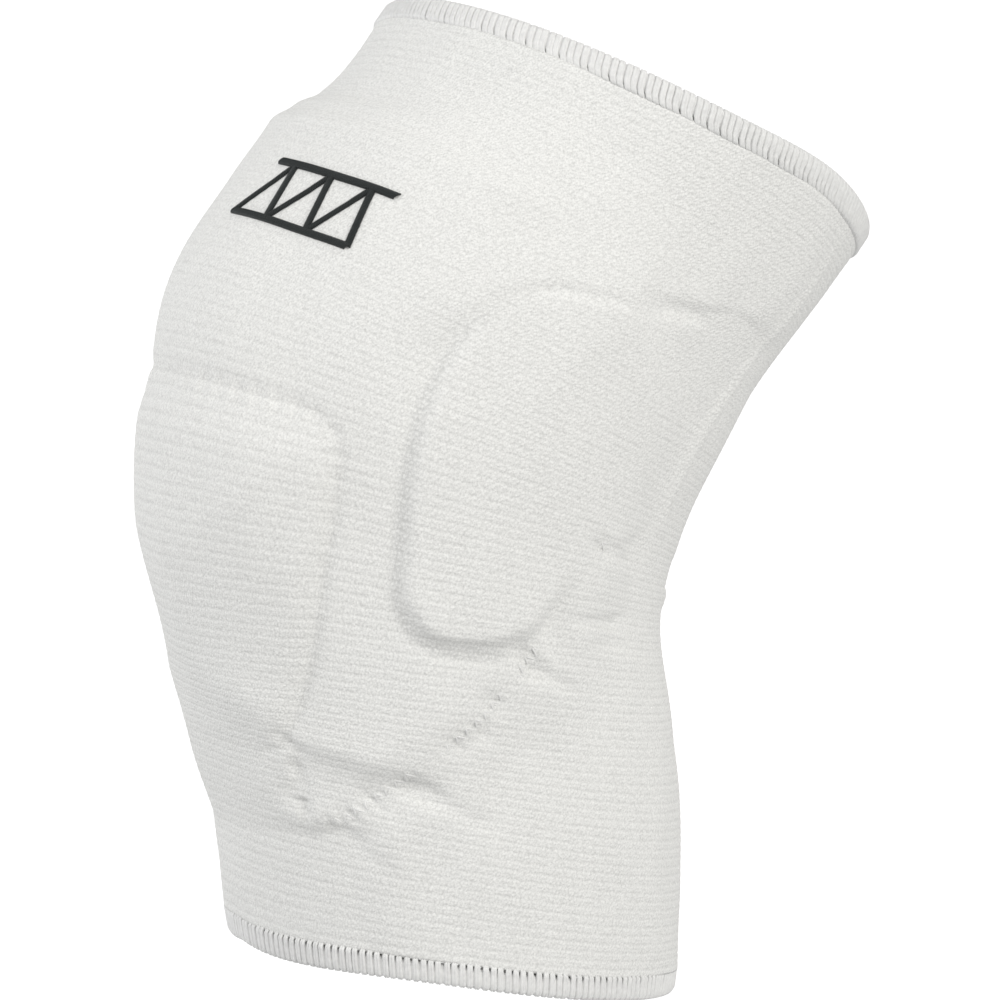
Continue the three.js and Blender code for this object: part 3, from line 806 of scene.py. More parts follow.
def grid_faces(columns, rows, first=0):
    """Four corners of each cell of a grid whose columns join up, and the same with the last column
    not joined, for looking up what belongs to each corner."""
    j, i = np.meshgrid(np.arange(rows - 1), np.arange(columns), indexing="ij")
    following = (i + 1) % columns
    faces = np.stack(
        [j * columns + i, j * columns + following, (j + 1) * columns + following,
         (j + 1) * columns + i],
        axis=-1,
    ).reshape(-1, 4)
    wide = columns + 1
    corners = np.stack(
        [j * wide + i, j * wide + i + 1, (j + 1) * wide + i + 1, (j + 1) * wide + i], axis=-1
    ).reshape(-1, 4)
    return faces + first, corners


def end_fans(count, last_ring, poles):
    """Triangles from the first ring to the first pole, and from the last ring to the pole after."""
    i = np.arange(count)
    following = (i + 1) % count
    return np.concatenate([
        np.stack([np.full(count, poles), following, i], axis=1),
        np.stack([np.full(count, poles + 1), last_ring + i, last_ring + following], axis=1),
    ])


def add_object(name, data):
    thing = bpy.data.objects.new(name, data)
    bpy.context.scene.collection.objects.link(thing)
    return thing


def make_piece(name, points, faces, uv=None):
    """A mesh object at the origin. points are millimetres, faces a list of arrays of corners, and
    uv a list of arrays with a place for each of those corners."""
    mesh = bpy.data.meshes.new(name)
    loops = np.concatenate([np.asarray(f).ravel() for f in faces]).astype(np.int32)
    sizes = np.concatenate([np.full(len(f), np.asarray(f).shape[1]) for f in faces])
    starts = np.concatenate([[0], np.cumsum(sizes)[:-1]]).astype(np.int32)
    mesh.vertices.add(len(points))
    mesh.vertices.foreach_set("co", (np.asarray(points) * MM).astype(np.float32).ravel())
    mesh.loops.add(len(loops))
    mesh.loops.foreach_set("vertex_index", loops)
    mesh.polygons.add(len(sizes))
    mesh.polygons.foreach_set("loop_start", starts)
    if uv is not None:
        layer = mesh.uv_layers.new(name="Yarn")
        flat = np.concatenate([np.asarray(u).reshape(-1, 2) for u in uv])
        layer.data.foreach_set("uv", flat.astype(np.float32).ravel())
    mesh.polygons.foreach_set("use_smooth", np.full(len(sizes), True))
    mesh.update(calc_edges=True)
    mesh.validate()
    return add_object(name, mesh)


def threads(paths, outwards, radius, sides=5):
    """Points and faces of many short threads. paths is (threads, steps, 3), and outwards the way
    off the cloth at each point. A ring of each thread is its point plus radius times the cosine of
    a turn outwards and the sine of it sideways. Each end closes in a point."""
    count, steps, _ = paths.shape
    forwards = unit(np.gradient(paths, axis=1))
    sideways = unit(np.cross(forwards, outwards))
    upwards = np.cross(sideways, forwards)
    turn = np.arange(sides) * 2 * math.pi / sides
    radius = np.broadcast_to(radius, (count, steps))[:, :, None, None]
    rings = paths[:, :, None] + radius * (
        np.cos(turn)[:, None] * upwards[:, :, None] + np.sin(turn)[:, None] * sideways[:, :, None]
    )
    ends = paths[:, [0, -1]] + forwards[:, [0, -1]] * (
        radius[:, [0, -1], 0] * np.array([-1.0, 1.0])[None, :, None]
    )
    each = steps * sides + 2
    points = np.concatenate([rings.reshape(count, -1, 3), ends], axis=1).reshape(-1, 3)
    body, _ = grid_faces(sides, steps)
    caps = end_fans(sides, (steps - 1) * sides, each - 2)
    offsets = (np.arange(count) * each)[:, None, None]
    return points, [(body[None] + offsets).reshape(-1, 4), (caps[None] + offsets).reshape(-1, 3)]


def joined(parts):
    """Several (points, faces) pairs as one."""
    points, faces, first = [], [], 0
    for some_points, some_faces in parts:
        points.append(some_points)
        faces += [np.asarray(f) + first for f in some_faces]
        first += len(some_points)
    return np.concatenate(points), faces


class Recipe:
    """Writes the nodes of one material."""

    def __init__(self, name):
        self.material = bpy.data.materials.new(name)
        self.material.use_nodes = True
        self.tree = self.material.node_tree
        self.shader = self.tree.nodes["Principled BSDF"]

    def node(self, kind, **settings):
        made = self.tree.nodes.new("ShaderNode" + kind)
        for key, value in settings.items():
            setattr(made, key, value)
        return made

    def feed(self, socket, value):
        if isinstance(value, bpy.types.NodeSocket):
            self.tree.links.new(value, socket)
        elif value is not None:
            socket.default_value = value

    def math(self, operation, first, second=None):
        made = self.node("Math", operation=operation)
        self.feed(made.inputs[0], first)
        self.feed(made.inputs[1], second)
        return made.outputs[0]

    def plus(self, first, second):
        return self.math("ADD", first, second)

    def minus(self, first, second):
        return self.math("SUBTRACT", first, second)

    def times(self, first, second):
        return self.math("MULTIPLY", first, second)

    def attribute(self, name):
        return self.node("Attribute", attribute_name=name).outputs["Fac"]

    def noise(self, place, scale, detail=2.0, roughness=0.5):
        made = self.node("TexNoise")
        self.feed(made.inputs["Vector"], place)
        self.feed(made.inputs["Scale"], scale)
        self.feed(made.inputs["Detail"], detail)
        self.feed(made.inputs["Roughness"], roughness)
        return made.outputs["Fac"]

    def between(self, share, low, high):
        """A number that runs from low to high as share runs from 0 to 1."""
        return self.plus(self.times(share, high - low), low)

    def shade(self, share, dark, light):
        """A colour that runs from dark to light as share runs from 0 to 1."""
        made = self.node("Mix", data_type="RGBA")
        self.feed(made.inputs[0], share)
        self.feed(made.inputs[6], (*dark, 1.0))
        self.feed(made.inputs[7], (*light, 1.0))
        return made.outputs[2]

    def bump(self, height, distance, strength=1.0, over=None):
        made = self.node("Bump")
        self.feed(made.inputs["Height"], height)
        self.feed(made.inputs["Distance"], distance)
        self.feed(made.inputs["Strength"], strength)
        self.feed(made.inputs["Normal"], over)
        return made.outputs["Normal"]

    def object_place(self):
        return self.node("TexCoord").outputs["Object"]

    def finish(self, colour, normal, roughness, sheen):
        self.feed(self.shader.inputs["Base Color"], colour)
        self.feed(self.shader.inputs["Normal"], normal)
        self.shader.inputs["Roughness"].default_value = roughness
        self.shader.inputs["Sheen Weight"].default_value = sheen
        self.shader.inputs["Sheen Roughness"].default_value = 0.5
        self.shader.inputs["Specular IOR Level"].default_value = 0.2
        return self.material


def shaded(colour, share):
    return tuple(channel * share for channel in colour)


def knit_finish(name, knit, contrast):
    """Two rows of loops to each rib. A loop is a cell of a grid whose points are shaken and whose
    columns lean, and its height falls off from the cell's middle. The gaps between loops are painted
    darker as shade, deeper where the knit is pulled open. The row in each rib's groove lies lower and
    is painted darker as shade, in patches. Fibres and specks are fine noise over all of it."""
    recipe = Recipe(name)
    where = recipe.object_place()
    split = recipe.node("SeparateXYZ")
    recipe.feed(split.inputs[0], recipe.node("UVMap", uv_map="Yarn").outputs[0])
    wale, rib = split.outputs[0], split.outputs[1]
    ribbed = recipe.attribute("ribbed")
    row = recipe.times(rib, 2.0)
    shake = recipe.between(recipe.noise(where, LOOP_SHAKE_SCALE), -LOOP_SHAKE, LOOP_SHAKE)
    leaning = recipe.minus(recipe.plus(wale, shake), recipe.times(row, LOOP_LEAN))
    cell = recipe.node("CombineXYZ")
    recipe.feed(cell.inputs[0], leaning)
    recipe.feed(cell.inputs[1], row)
    loops = recipe.node("TexVoronoi", voronoi_dimensions="2D")
    recipe.feed(loops.inputs["Vector"], cell.outputs[0])
    recipe.feed(loops.inputs["Scale"], 1.0)
    recipe.feed(loops.inputs["Randomness"], recipe.between(ribbed, LOOPS_ON_THIGH, LOOPS_ON_RIBS))
    loop = recipe.minus(1.0, recipe.times(loops.outputs["Distance"], LOOP_FALL))
    from_groove = recipe.math("ABSOLUTE", recipe.math("SINE", recipe.times(rib, math.pi)))
    patches = recipe.between(recipe.noise(where, PATCH_SCALE, 3.0), 0.0, 1.0)
    fade = recipe.times(recipe.times(recipe.minus(1.0, from_groove), ribbed), patches)
    fibre = recipe.noise(where, FIBRE_SCALE, 2.0)
    height = recipe.plus(recipe.times(loop, LOOP_RELIEF), recipe.times(fibre, FIBRE_RELIEF))
    height = recipe.minus(height, recipe.times(fade, GROOVE_RELIEF))
    dot = recipe.math("POWER", recipe.math("MAXIMUM", loop, 0.0), LOOP_SHARPNESS)
    # Painted shade in the gaps between the loops, deeper where they stand open
    loop_gap_shade = recipe.between(recipe.attribute("loop_gap_shade"), LOOP_GAP_SHADE_SHUT, LOOP_GAP_SHADE_OPEN)
    gap = recipe.times(recipe.minus(1.0, dot), loop_gap_shade)
    speck = recipe.between(recipe.noise(where, SPECK_SCALE, 1.0), -SPECK, SPECK)
    # The darkening: painted shade in the gaps and in the grooves, plus specks of random tone
    dark = recipe.plus(recipe.plus(gap, speck), recipe.times(fade, GROOVE_PAINTED_SHADE))
    light = recipe.minus(1.0, dark)
    colour = recipe.shade(light, shaded(knit.colour, 1 - contrast), tuple(knit.colour))
    normal = recipe.bump(height, knit.loop_height * MM)
    return recipe.finish(colour, normal, knit.roughness, knit.sheen)


def lining_finish(name, knit):
    """A fine smooth knit, seen only inside the tube."""
    recipe = Recipe(name)
    where = recipe.object_place()
    fine = recipe.noise(where, LINING_SCALE, 2.0)
    shade = recipe.shade(fine, shaded(knit.colour, LINING_SHADE), tuple(knit.colour))
    return recipe.finish(shade, recipe.bump(fine, LINING_RELIEF * MM), 0.95, 0.1)


def thread_finish(name, colour, roughness, sheen, twist):
    """Thread whose fibres run in fine streaks."""
    recipe = Recipe(name)
    where = recipe.object_place()
    streaks = recipe.noise(where, twist, 3.0)
    dark, light = (shaded(colour, share) for share in THREAD_SHADES)
    shade = recipe.shade(streaks, dark, light)
    return recipe.finish(shade, recipe.bump(streaks, THREAD_RELIEF * MM), roughness, sheen)


def foam_finish(name, colour):
    """Foam with small closed cells."""
    recipe = Recipe(name)
    cells = recipe.node("TexVoronoi")
    recipe.feed(cells.inputs["Vector"], recipe.object_place())
    recipe.feed(cells.inputs["Scale"], FOAM_SCALE)
    depth = cells.outputs["Distance"]
    shade = recipe.shade(depth, shaded(colour, FOAM_SHADE), colour)
    return recipe.finish(shade, recipe.bump(depth, FOAM_RELIEF * MM), 0.85, 0.0)


def size_setting(name, description, default, least=0.0):
    return FloatProperty(name=name, description=description, default=default, min=least)


def share_setting(name, description, default):
    return FloatProperty(
        name=name, description=description, subtype="FACTOR", default=default, min=0.0, max=1.0
    )


def colour_setting(name, description, default):
    return FloatVectorProperty(
        name=name, description=description, subtype="COLOR", default=default, min=0.0, max=1.0
    )


class KneePadKnit(bpy.types.PropertyGroup):
    ribs: IntProperty(name="Ribs", description="Ribs from hem to hem", default=96, min=20, max=120)
    wales: IntProperty(
        name="Wales", description="Columns of loops round the tube", default=410, min=60
    )
    rib_height: size_setting("Rib height", "Millimetres that a rib stands above its groove", 0.09)
    loop_height: size_setting("Loop height", "Millimetres that a loop stands out", 0.26)
    colour: colour_setting("Colour", "Colour of the yarn", (0.88, 0.88, 0.86))
    roughness: share_setting("Roughness", "How matt the yarn is", 0.9)
    sheen: share_setting("Sheen", "Soft light off the fuzz", 0.06)


class KneePadThread(bpy.types.PropertyGroup):
    pitch: size_setting("Pitch", "Millimetres from one overlock stitch to the next", 1.78, 0.5)
    thickness: size_setting("Thickness", "Millimetres across one strand", 1.0, 0.1)
    # Off-white thread, set a little darker than the yarn partly as painted shade on the hem bands
    colour: colour_setting("Colour", "Colour of the seams", (0.82, 0.82, 0.81))
    motif_colour: colour_setting(
        "Motif colour", "Colour of the motif's thread", (0.022, 0.026, 0.026)
    )


class KneePadFoam(bpy.types.PropertyGroup):
    colour: colour_setting("Colour", "Colour of the foam", (0.82, 0.8, 0.72))
    spacing: size_setting("Spacing", "Millimetres between points round a pad", 3.0, 1.0)


class KneePadStudio(bpy.types.PropertyGroup):
    azimuth: FloatProperty(
        name="Azimuth", description="Way round from the front to the camera", subtype="ANGLE",
        default=math.radians(65.0),
    )
    elevation: FloatProperty(
        name="Elevation", description="Height of the camera above level", subtype="ANGLE",
        default=math.radians(6.5),
    )
    distance: FloatProperty(
        name="Distance", description="From the camera to the middle of the picture",
        unit="LENGTH", default=0.9,
    )
    pixel: size_setting("Pixel", "Millimetres that one pixel covers", 0.255)
    floor_drop: FloatProperty(
        name="Floor drop", description="From the origin down to the floor", unit="LENGTH",
        default=0.5,
    )


def knit_grid(columns, rows):
    """Angles, shares of the length, and places on the flat map, rows by columns."""
    angle = np.broadcast_to(knit_columns(columns), (rows, columns))
    low, high = knit_ends(angle[0])
    t = low + np.linspace(0, 1, rows)[:, None] * (high - low)
    return angle, t, around(angle, t), t * SLEEVE_LENGTH


def make_sleeve(knit):
    """The outer face is a grid with three rows to a rib, one of them in its groove, lifted by the
    pads and by the ribs. The inner face is a coarser grid, and a strip at each end joins them."""
    columns, rows = SLEEVE_COLUMNS, knit.ribs * ROWS_PER_RIB + 1
    angle, t, arc, along = knit_grid(columns, rows)
    lift = draped_lift(arc, along)
    crest = np.arange(rows) % ROWS_PER_RIB != 0
    deep = knit.rib_height * ribbed_share(along)
    outer = lifted(angle, t, SLEEVE_WALL + lift - deep * ~crest[:, None])
    inner_columns, inner_rows = columns // 2, knit.ribs // 2 + 1
    inner_angle, inner_t, inner_arc, inner_along = knit_grid(inner_columns, inner_rows)
    inner = lifted(inner_angle, inner_t, draped_lift(inner_arc, inner_along))
    outer_faces, outer_corners = grid_faces(columns, rows)
    first = rows * columns
    inner_faces, inner_corners = grid_faces(inner_columns, inner_rows, first)
    wale = np.linspace(0, knit.wales, columns + 1)
    ribs = np.linspace(0, knit.ribs, rows)
    outer_uv = np.stack(np.meshgrid(wale, ribs), axis=-1).reshape(-1, 2)[outer_corners]
    inner_uv = np.stack(
        np.meshgrid(wale[::2], np.linspace(0, knit.ribs, inner_rows)), axis=-1
    ).reshape(-1, 2)[inner_corners][:, ::-1]
    i = np.arange(inner_columns)
    following = (i + 1) % inner_columns
    rims = []
    for outer_start, inner_start, flip in (
        (0, first, False),
        ((rows - 1) * columns, first + (inner_rows - 1) * inner_columns, True),
    ):
        a, b = outer_start + 2 * i, outer_start + 2 * i + 1
        c = outer_start + (2 * i + 2) % columns
        d, e = inner_start + i, inner_start + following
        fan = np.concatenate(
            [np.stack([a, d, b], 1), np.stack([b, d, e], 1), np.stack([b, e, c], 1)]
        )
        rims.append(fan[:, ::-1] if flip else fan)
    rims = np.concatenate(rims)
    rim_uv = np.zeros((len(rims), 3, 2))
    points = np.concatenate([outer.reshape(-1, 3), inner.reshape(-1, 3)])
    sleeve = make_piece(
        "knit_sleeve",
        points,
        [outer_faces, inner_faces[:, ::-1], rims],
        [outer_uv, inner_uv, rim_uv],
    )
    # At each point: the share of painted shade in the gaps between loops, and how clearly the ribs
    # show
    for label, share in (("loop_gap_shade", gap_shade_share(arc, along)), ("ribbed", ribbed_share(along))):
        values = np.concatenate([share.ravel(), np.zeros(inner[..., 0].size)])
        layer = sleeve.data.attributes.new(label, "FLOAT", "POINT")
        layer.data.foreach_set("value", values.astype(np.float32))
    return sleeve


def squared(x):
    """A cosine or sine with its crests flattened."""
    return np.sign(x) * np.abs(x) ** HEM_SQUARED


def hem_section(turn):
    """Offsets of a flattened roll at a turn of its section: height above the open edge and out."""
    up, out = squared(np.cos(turn)), squared(np.sin(turn))
    return HEM_HEIGHT / 2 * (1 + up), SLEEVE_WALL / 2 + HEM_WALL / 2 * out


def shrunk(height, out, inset):
    """The hem's section again, moved in on all sides."""
    return (
        HEM_HEIGHT / 2 + (height - HEM_HEIGHT / 2) * (1 - 2 * inset / HEM_HEIGHT),
        SLEEVE_WALL / 2 + (out - SLEEVE_WALL / 2) * (1 - 2 * inset / HEM_WALL),
    )


def hem_point(edge, inwards, angle, height, out):
    """A point of a hem: height counts from the open edge inwards, out from the skin."""
    t = edge + inwards * height / stretch_along(angle, edge + 0.0 * angle)
    return lifted(angle, t, out)


def make_hem(name, edge, inwards, slant, plump, thread):
    """A roll of the cut edge, and pairs of strands that wrap round it from the needle row on the
    outside, over the open edge, to the needle row on the inside. slant is how many stitches a strand
    moves round the hem on its way to the open edge, and plump how thick its strands are."""
    thickness = thread.thickness * plump
    angle = np.linspace(-math.pi, math.pi, ROLL_COLUMNS, endpoint=False)
    section = hem_section(-inwards * np.arange(ROLL_CORNERS) * 2 * math.pi / ROLL_CORNERS)
    height, out = shrunk(*section, ROLL_INSET * thickness)
    roll = hem_point(edge, inwards, angle, height[:, None], out[:, None])
    ring, _ = grid_faces(ROLL_COLUMNS, ROLL_CORNERS + 1)
    girth = float(around(np.array(math.pi), np.array(float(edge)))) * 2
    stitches = int(girth / thread.pitch)
    stitch = 2 * math.pi / stitches
    rng = np.random.default_rng(STITCH_SEEDS[inwards])
    shake = rng.uniform(-STRAND_SHAKE, STRAND_SHAKE, stitches)
    starts = np.concatenate([np.arange(stitches) + shake + offset for offset in STRAND_OFFSETS])
    starts = starts[:, None] * stitch
    turns = np.linspace(0, 2 * math.pi, STRAND_STEPS)
    over = np.sin(turns / 2)
    needle = np.abs(np.cos(turns / 2)) ** NEEDLE_SHARPNESS
    height, out = shrunk(*hem_section(turns), STRAND_INSET * thickness)
    height = height + NEEDLE_REACH * needle
    out = out + needle * np.sign(math.pi - turns) * (SLEEVE_WALL / 2 - NEEDLE_DEPTH)
    paths = hem_point(edge, inwards, starts + slant * stitch * over, height, out)
    middle = hem_point(edge, inwards, starts + 0 * turns, HEM_HEIGHT / 2, SLEEVE_WALL / 2)
    radius = thickness / 2 * (STRAND_LEAST + STRAND_SWELL * over)
    points, faces = joined([
        (roll.reshape(-1, 3), [ring % (ROLL_CORNERS * ROLL_COLUMNS)]),
        threads(paths, unit(paths - middle), radius, 5),
    ])
    return make_piece(name, points, faces)


def pad_shape(outline, spacing, inset, rings, bottom, top):
    """A flat pad: rings shrink from its outline to its middle, under it and back over it. A ring's
    share of the way out is 1 minus a power of its number, so that rings crowd at the edge."""

    def face(flat, height):
        arc, along = flat[..., 0], flat[..., 1]
        return on_knit(arc, along, height(arc, along))

    edge = pushed_in(evenly(outline, spacing), inset)
    middle = edge.mean(axis=0)
    shares = 1 - np.linspace(0, 1, rings, endpoint=False) ** RING_CROWDING
    ring = middle + shares[:, None, None] * (edge - middle)
    under, over = face(ring, bottom), face(ring, top)
    rows = np.concatenate([under[::-1], over])
    count = len(edge)
    faces, _ = grid_faces(count, len(rows))
    poles = np.stack([face(middle, bottom), face(middle, top)])
    caps = end_fans(count, (len(rows) - 1) * count, len(rows) * count)
    return np.concatenate([rows.reshape(-1, 3), poles]), [faces, caps]


def held_by_panel(outline):
    """The outline moved in, square to the edge of the panel, wherever its foam would lie outside the
    flat part of the panel."""
    step = 0.5
    across, along = outline.T
    inside, _ = edge_place(PANEL, across, along)
    beside, _ = edge_place(PANEL, across + step, along)
    above, _ = edge_place(PANEL, across, along + step)
    inwards = unit(np.stack([beside - inside, above - inside], axis=1))
    short = np.maximum(PANEL_HEM + PANEL_RIM - PAD_INSET - inside, 0)
    return outline + short[:, None] * inwards


def make_pad(name, outline, foam):
    """Foam that fills the room between the panel and the knit."""
    points, faces = pad_shape(
        held_by_panel(outline), foam.spacing, PAD_INSET, PAD_RINGS,
        lambda arc, along: PANEL_WALL + PAD_EASE + 0 * arc,
        lambda arc, along: np.maximum(draped_lift(arc, along) - PAD_EASE, PANEL_WALL + 2 * PAD_EASE),
    )
    return make_piece(name, points, faces)


def rim_rise(arc, along):
    """How far the panel's rim bends out to the knit, to which it is sewn: all the way at its edge,
    and nothing one rim's width inside it."""
    inside, _ = edge_place(PANEL, arc, along)
    rim = 1 - ramp((inside - PANEL_HEM) / PANEL_RIM)
    return rim * np.maximum(draped_lift(arc, along) - PANEL_WALL - GAP, 0)


def make_panel(foam):
    points, faces = pad_shape(
        PANEL, foam.spacing, PANEL_HEM, PANEL_RINGS,
        rim_rise, lambda arc, along: PANEL_WALL + rim_rise(arc, along),
    )
    return make_piece("inner_panel", points, faces)


def make_seam(thread):
    """A zigzag stitch round the panel. Each stitch is one short thread that goes down into the knit
    at both ends, from one side of the seam to the other."""
    line = evenly(PANEL, SEAM_STEP)
    inwards = pushed_in(line, 1.0) - line
    swing = np.where(np.arange(len(line)) % 2 == 0, SEAM_SWING, -SEAM_SWING)[:, None]
    corner = line + swing * inwards
    share = np.linspace(0, 1, SEAM_STEPS)[None, :, None]
    flat = corner[:, None] * (1 - share) + np.roll(corner, -1, axis=0)[:, None] * share
    arc, along = flat[..., 0], flat[..., 1]
    arch = SEAM_HEIGHT * (3 * np.sin(share[..., 0] * math.pi) - 2)
    side = np.abs(arc)
    sunk = SEAM_DEPTH - SEAM_GATHERED * gathered(side, along) * after(side, SEAM_SIDE)
    lift = SLEEVE_WALL + draped_lift(arc, along) + arch - sunk
    points, faces = threads(
        on_knit(arc, along, lift), out_of_knit(arc, along), thread.thickness * SEAM_THREAD
    )
    return make_piece("panel_seam", points, faces)


def satin_line(start, end, width, height):
    """Strands laid side by side across a line on the motif, each an arch over it."""
    start, end = np.asarray(start, float), np.asarray(end, float)
    length = np.linalg.norm(end - start)
    way = (end - start) / length
    across = np.array([-way[1], way[0]])
    count = int(length / SATIN_SPACING)
    at = start + way * (np.arange(count + 1)[:, None] * length / count)
    share = np.linspace(-1, 1, SATIN_STEPS)[:, None]
    flat = at[:, None] + share * (across * width / 2 + way * SATIN_SLANT)
    return flat, np.broadcast_to(height * (1 - share[:, 0] ** 4), flat.shape[:2])


def make_motif(thread):
    """A strip of lacing in satin stitch: two cords and a finer thread to and fro between them."""
    reach, rise = MOTIF_WIDTH / 2, MOTIF_HEIGHT / 2

    def at(i, side):
        return ((2 * i / MOTIF_TURNS - 1) * reach, side * rise)

    lines = [satin_line(at(0, s), at(MOTIF_TURNS, s), MOTIF_LINE, CORD_HEIGHT) for s in (-1, 1)]
    for i in range(MOTIF_TURNS):
        side = -1 if i % 2 == 0 else 1
        lines.append(
            satin_line(at(i, side), at(i + 1, -side), MOTIF_LINE * LACE_SHARE, LACE_HEIGHT)
        )
    flat = np.concatenate([line for line, _ in lines])
    lift = np.concatenate([height for _, height in lines])
    along = MOTIF_ALONG + flat[..., 1]
    arc = MOTIF_AROUND + flat[..., 0] + MOTIF_LEAN * flat[..., 1]
    paths = on_knit(arc, along, SLEEVE_WALL + draped_lift(arc, along) + SATIN_FOOT + lift)
    points, faces = threads(paths, out_of_knit(arc, along), SATIN_THREAD)
    return make_piece("satin_motif", points, faces)


def dress(piece, material, *nodes, slot=None):
    """Gives a piece its material and its body, and hides the imported nodes that it stands for. The
    slot is not used.
    """
    piece.data.materials.append(material)
    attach(piece, "root")
    if nodes:
        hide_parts(*nodes)
    return piece


class KNEEPAD_OT_sleeve(bpy.types.Operator):
    """Knit the tube over the pads"""

    bl_idname = "kneepad.sleeve"
    bl_label = "Knit Sleeve"

    def execute(self, context):
        knit = context.scene.knee_pad_knit
        sleeve = make_sleeve(knit)
        dress(sleeve, knit_finish("white_knit", knit, LOOP_CONTRAST), "sleeve", slot="white_knit")
        return {"FINISHED"}


class KNEEPAD_OT_hems(bpy.types.Operator):
    """Bind both open ends with overlock stitches"""

    bl_idname = "kneepad.hems"
    bl_label = "Overlocked Hems"

    def execute(self, context):
        thread = context.scene.knee_pad_thread
        # The thread's colour holds painted shade for the hem bands as well as its own off-white
        finish = thread_finish("white_thread", tuple(thread.colour), 0.75, 0.2, 900.0)
        dress(make_hem("shin_overlock", 0, 1, -0.25, 1.0, thread), finish, "shin_hem",
              slot="white_thread")
        dress(make_hem("thigh_overlock", 1, -1, -1.7, 1.2, thread), finish, "thigh_hem",
              slot="white_thread")
        return {"FINISHED"}


class KNEEPAD_OT_panel(bpy.types.Operator):
    """Set the inner panel and stitch it to the knit"""

    bl_idname = "kneepad.panel"
    bl_label = "Inner Panel and Seam"

    def execute(self, context):
        knit = context.scene.knee_pad_knit
        thread = context.scene.knee_pad_thread
        foam = context.scene.knee_pad_foam
        panel = make_panel(foam)
        dress(panel, lining_finish("lining_knit", knit), "pad_panel", slot="lining_knit")
        finish = thread_finish("seam_thread", tuple(thread.colour), 0.75, 0.2, 1200.0)
        dress(make_seam(thread), finish, slot="white_thread")
        return {"FINISHED"}


class KNEEPAD_OT_pads(bpy.types.Operator):
    """Fill the pockets with foam"""

    bl_idname = "kneepad.pads"
    bl_label = "Foam Pads"

    def execute(self, context):
        foam = context.scene.knee_pad_foam
        finish = foam_finish("pad_foam", tuple(foam.colour))
        inner = SIDE_PAD[::-1] * [-1, 1]
        for name, node, outline in (
            ("kneecap_foam", "knee_pad", KNEE_PAD),
            ("thigh_foam", "thigh_pad", THIGH_PAD),
            ("outer_side_foam", "side_pad_outer", SIDE_PAD),
            ("inner_side_foam", "side_pad_inner", inner),
        ):
            pad = dress(make_pad(name, outline, foam), finish, node, slot="pad_foam")
        return {"FINISHED"}


class KNEEPAD_OT_motif(bpy.types.Operator):
    """Embroider the motif on the front of the thigh"""

    bl_idname = "kneepad.motif"
    bl_label = "Satin Motif"

    def execute(self, context):
        thread = context.scene.knee_pad_thread
        finish = thread_finish("dark_thread", tuple(thread.motif_colour), 0.5, 0.1, 900.0)
        dress(make_motif(thread), finish, "front_motif", slot="dark_thread")
        return {"FINISHED"}


def direction(azimuth, elevation):
    """A unit vector from the pad towards a place round it: azimuth 0 is in front."""
    return Vector((
        math.sin(azimuth) * math.cos(elevation),
        -math.cos(azimuth) * math.cos(elevation),
        math.sin(elevation),
    ))


def aim(thing, towards):
    thing.rotation_mode = "QUATERNION"
    thing.rotation_quaternion = towards.to_track_quat("-Z", "Y")


def add_light(name, azimuth, elevation, distance, size, power, colour):
    data = bpy.data.lights.new(name, "AREA")
    data.shape = "DISK"
    data.size = size
    data.energy = power
    data.color = colour
    light = add_object(name, data)
    back = direction(math.radians(azimuth), math.radians(elevation))
    light.location = back * distance
    aim(light, -back)


def add_camera(studio):
    """A camera whose picture covers the asked-for millimetres a pixel at its middle."""
    data = bpy.data.cameras.new("camera")
    camera = add_object("camera", data)
    back = direction(studio.azimuth, studio.elevation)
    camera.location = Vector(PICTURE_MIDDLE) * MM + back * studio.distance
    aim(camera, -back)
    data.sensor_width = SENSOR
    data.lens = studio.distance / (studio.pixel * MM) * SENSOR / PICTURE_PIXELS
    return camera


def add_backdrop(studio):
    """A pale sheet: level below the pad, a quarter of a circle, then a wall behind it."""
    floor = bpy.data.meshes.new("floor")
    curve = np.linspace(0, math.pi / 2, 16)
    far = FLOOR_REACH + WALL_BEND
    run = np.concatenate([[0.0], FLOOR_REACH + WALL_BEND * np.sin(curve), [far]])
    rise = np.concatenate([[0.0], WALL_BEND * (1 - np.cos(curve)), [WALL_HEIGHT]])
    away = -np.array([math.sin(studio.azimuth), -math.cos(studio.azimuth)])
    beside = np.array([-away[1], away[0]])
    rows = []
    for side in (-FLOOR_SIDE, FLOOR_SIDE):
        ground = (run[:, None] - FLOOR_NEAR) * away + side * beside
        rows.append(np.column_stack([ground, rise - studio.floor_drop]))
    count = len(run)
    i = np.arange(count - 1)
    faces = np.stack([i, i + 1, count + i + 1, count + i], axis=1)
    floor.from_pydata(np.concatenate(rows).tolist(), [], faces[:, ::-1].tolist())
    floor.polygons.foreach_set("use_smooth", np.full(len(faces), True))
    paper = Recipe("paper")
    for socket, value in (
        ("Roughness", 1.0),
        ("Base Color", (0.95, 0.95, 0.95, 1.0)),
        ("Emission Color", (1.0, 1.0, 1.0, 1.0)),
        ("Emission Strength", 0.4),
    ):
        paper.shader.inputs[socket].default_value = value
    floor.materials.append(paper.material)
    backdrop = add_object("floor", floor)
    backdrop.visible_diffuse = False


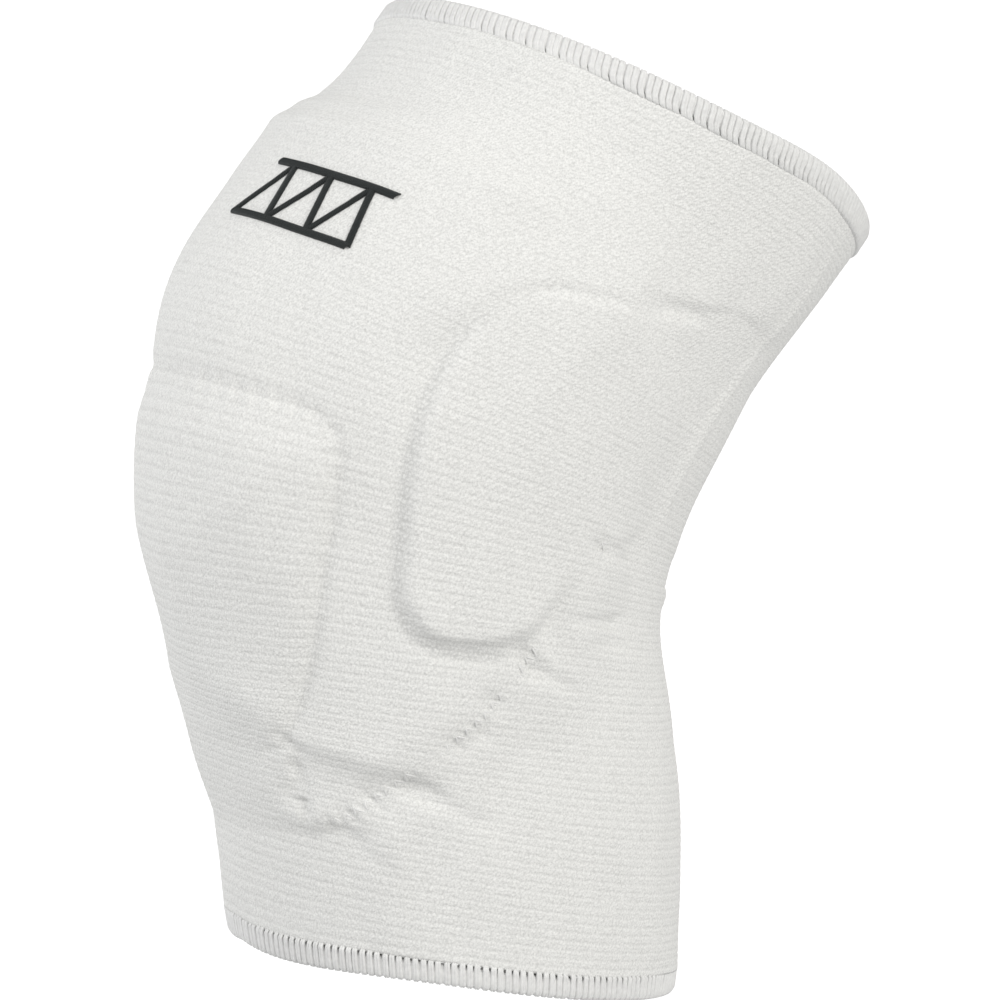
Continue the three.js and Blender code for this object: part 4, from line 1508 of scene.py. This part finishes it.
def soft_sky():
    """White light from all round, a little stronger from above."""
    world = bpy.data.worlds.new("world")
    world.use_nodes = True
    tree = world.node_tree
    sky = tree.nodes["Background"]
    sky.inputs["Color"].default_value = (1.0, 1.0, 1.0, 1.0)
    height = tree.nodes.new("ShaderNodeSeparateXYZ")
    tree.links.new(tree.nodes.new("ShaderNodeTexCoord").outputs["Generated"], height.inputs[0])
    fade = tree.nodes.new("ShaderNodeMapRange")
    fade.inputs["From Min"].default_value = -1.0
    fade.inputs["To Min"].default_value = SKY_BELOW
    fade.inputs["To Max"].default_value = SKY_ABOVE
    tree.links.new(height.outputs["Z"], fade.inputs["Value"])
    tree.links.new(fade.outputs[0], sky.inputs["Strength"])
    return world


class KNEEPAD_OT_studio(bpy.types.Operator):
    """Set the camera, the pale floor and the soft lights"""

    bl_idname = "kneepad.studio"
    bl_label = "Studio"

    def execute(self, context):
        scene = context.scene
        scene.camera = add_camera(scene.knee_pad_studio)
        add_backdrop(scene.knee_pad_studio)
        for name, row in LIGHTS.items():
            add_light(name, *row)
        scene.world = soft_sky()
        scene.view_settings.view_transform = "Standard"
        return {"FINISHED"}


class KNEEPAD_PT_panel(bpy.types.Panel):
    """Buttons that make each piece"""

    bl_label = "Knee Pad"
    bl_idname = "KNEEPAD_PT_panel"
    bl_space_type = "VIEW_3D"
    bl_region_type = "UI"
    bl_category = "Knee Pad"

    def draw(self, context):
        for group in ("knee_pad_knit", "knee_pad_thread", "knee_pad_foam", "knee_pad_studio"):
            settings = getattr(context.scene, group)
            for name in settings.__annotations__:
                self.layout.prop(settings, name)
        for operator in OPERATORS:
            self.layout.operator(operator.bl_idname)


SETTINGS = {
    "knee_pad_knit": KneePadKnit,
    "knee_pad_thread": KneePadThread,
    "knee_pad_foam": KneePadFoam,
    "knee_pad_studio": KneePadStudio,
}
OPERATORS = [
    KNEEPAD_OT_sleeve,
    KNEEPAD_OT_hems,
    KNEEPAD_OT_panel,
    KNEEPAD_OT_pads,
    KNEEPAD_OT_motif,
    KNEEPAD_OT_studio,
]


def register():
    for group in SETTINGS.values():
        bpy.utils.register_class(group)
    for name, group in SETTINGS.items():
        setattr(bpy.types.Scene, name, PointerProperty(type=group))
    for operator in OPERATORS:
        bpy.utils.register_class(operator)
    bpy.utils.register_class(KNEEPAD_PT_panel)


def unregister():
    bpy.utils.unregister_class(KNEEPAD_PT_panel)
    for operator in reversed(OPERATORS):
        bpy.utils.unregister_class(operator)
    for name, group in reversed(SETTINGS.items()):
        delattr(bpy.types.Scene, name)
        bpy.utils.unregister_class(group)


def main():
    register()
    bpy.ops.kneepad.sleeve()
    bpy.ops.kneepad.hems()
    bpy.ops.kneepad.panel()
    bpy.ops.kneepad.pads()
    bpy.ops.kneepad.motif()
    bpy.ops.kneepad.studio()


if __name__ == "__main__":
    main()
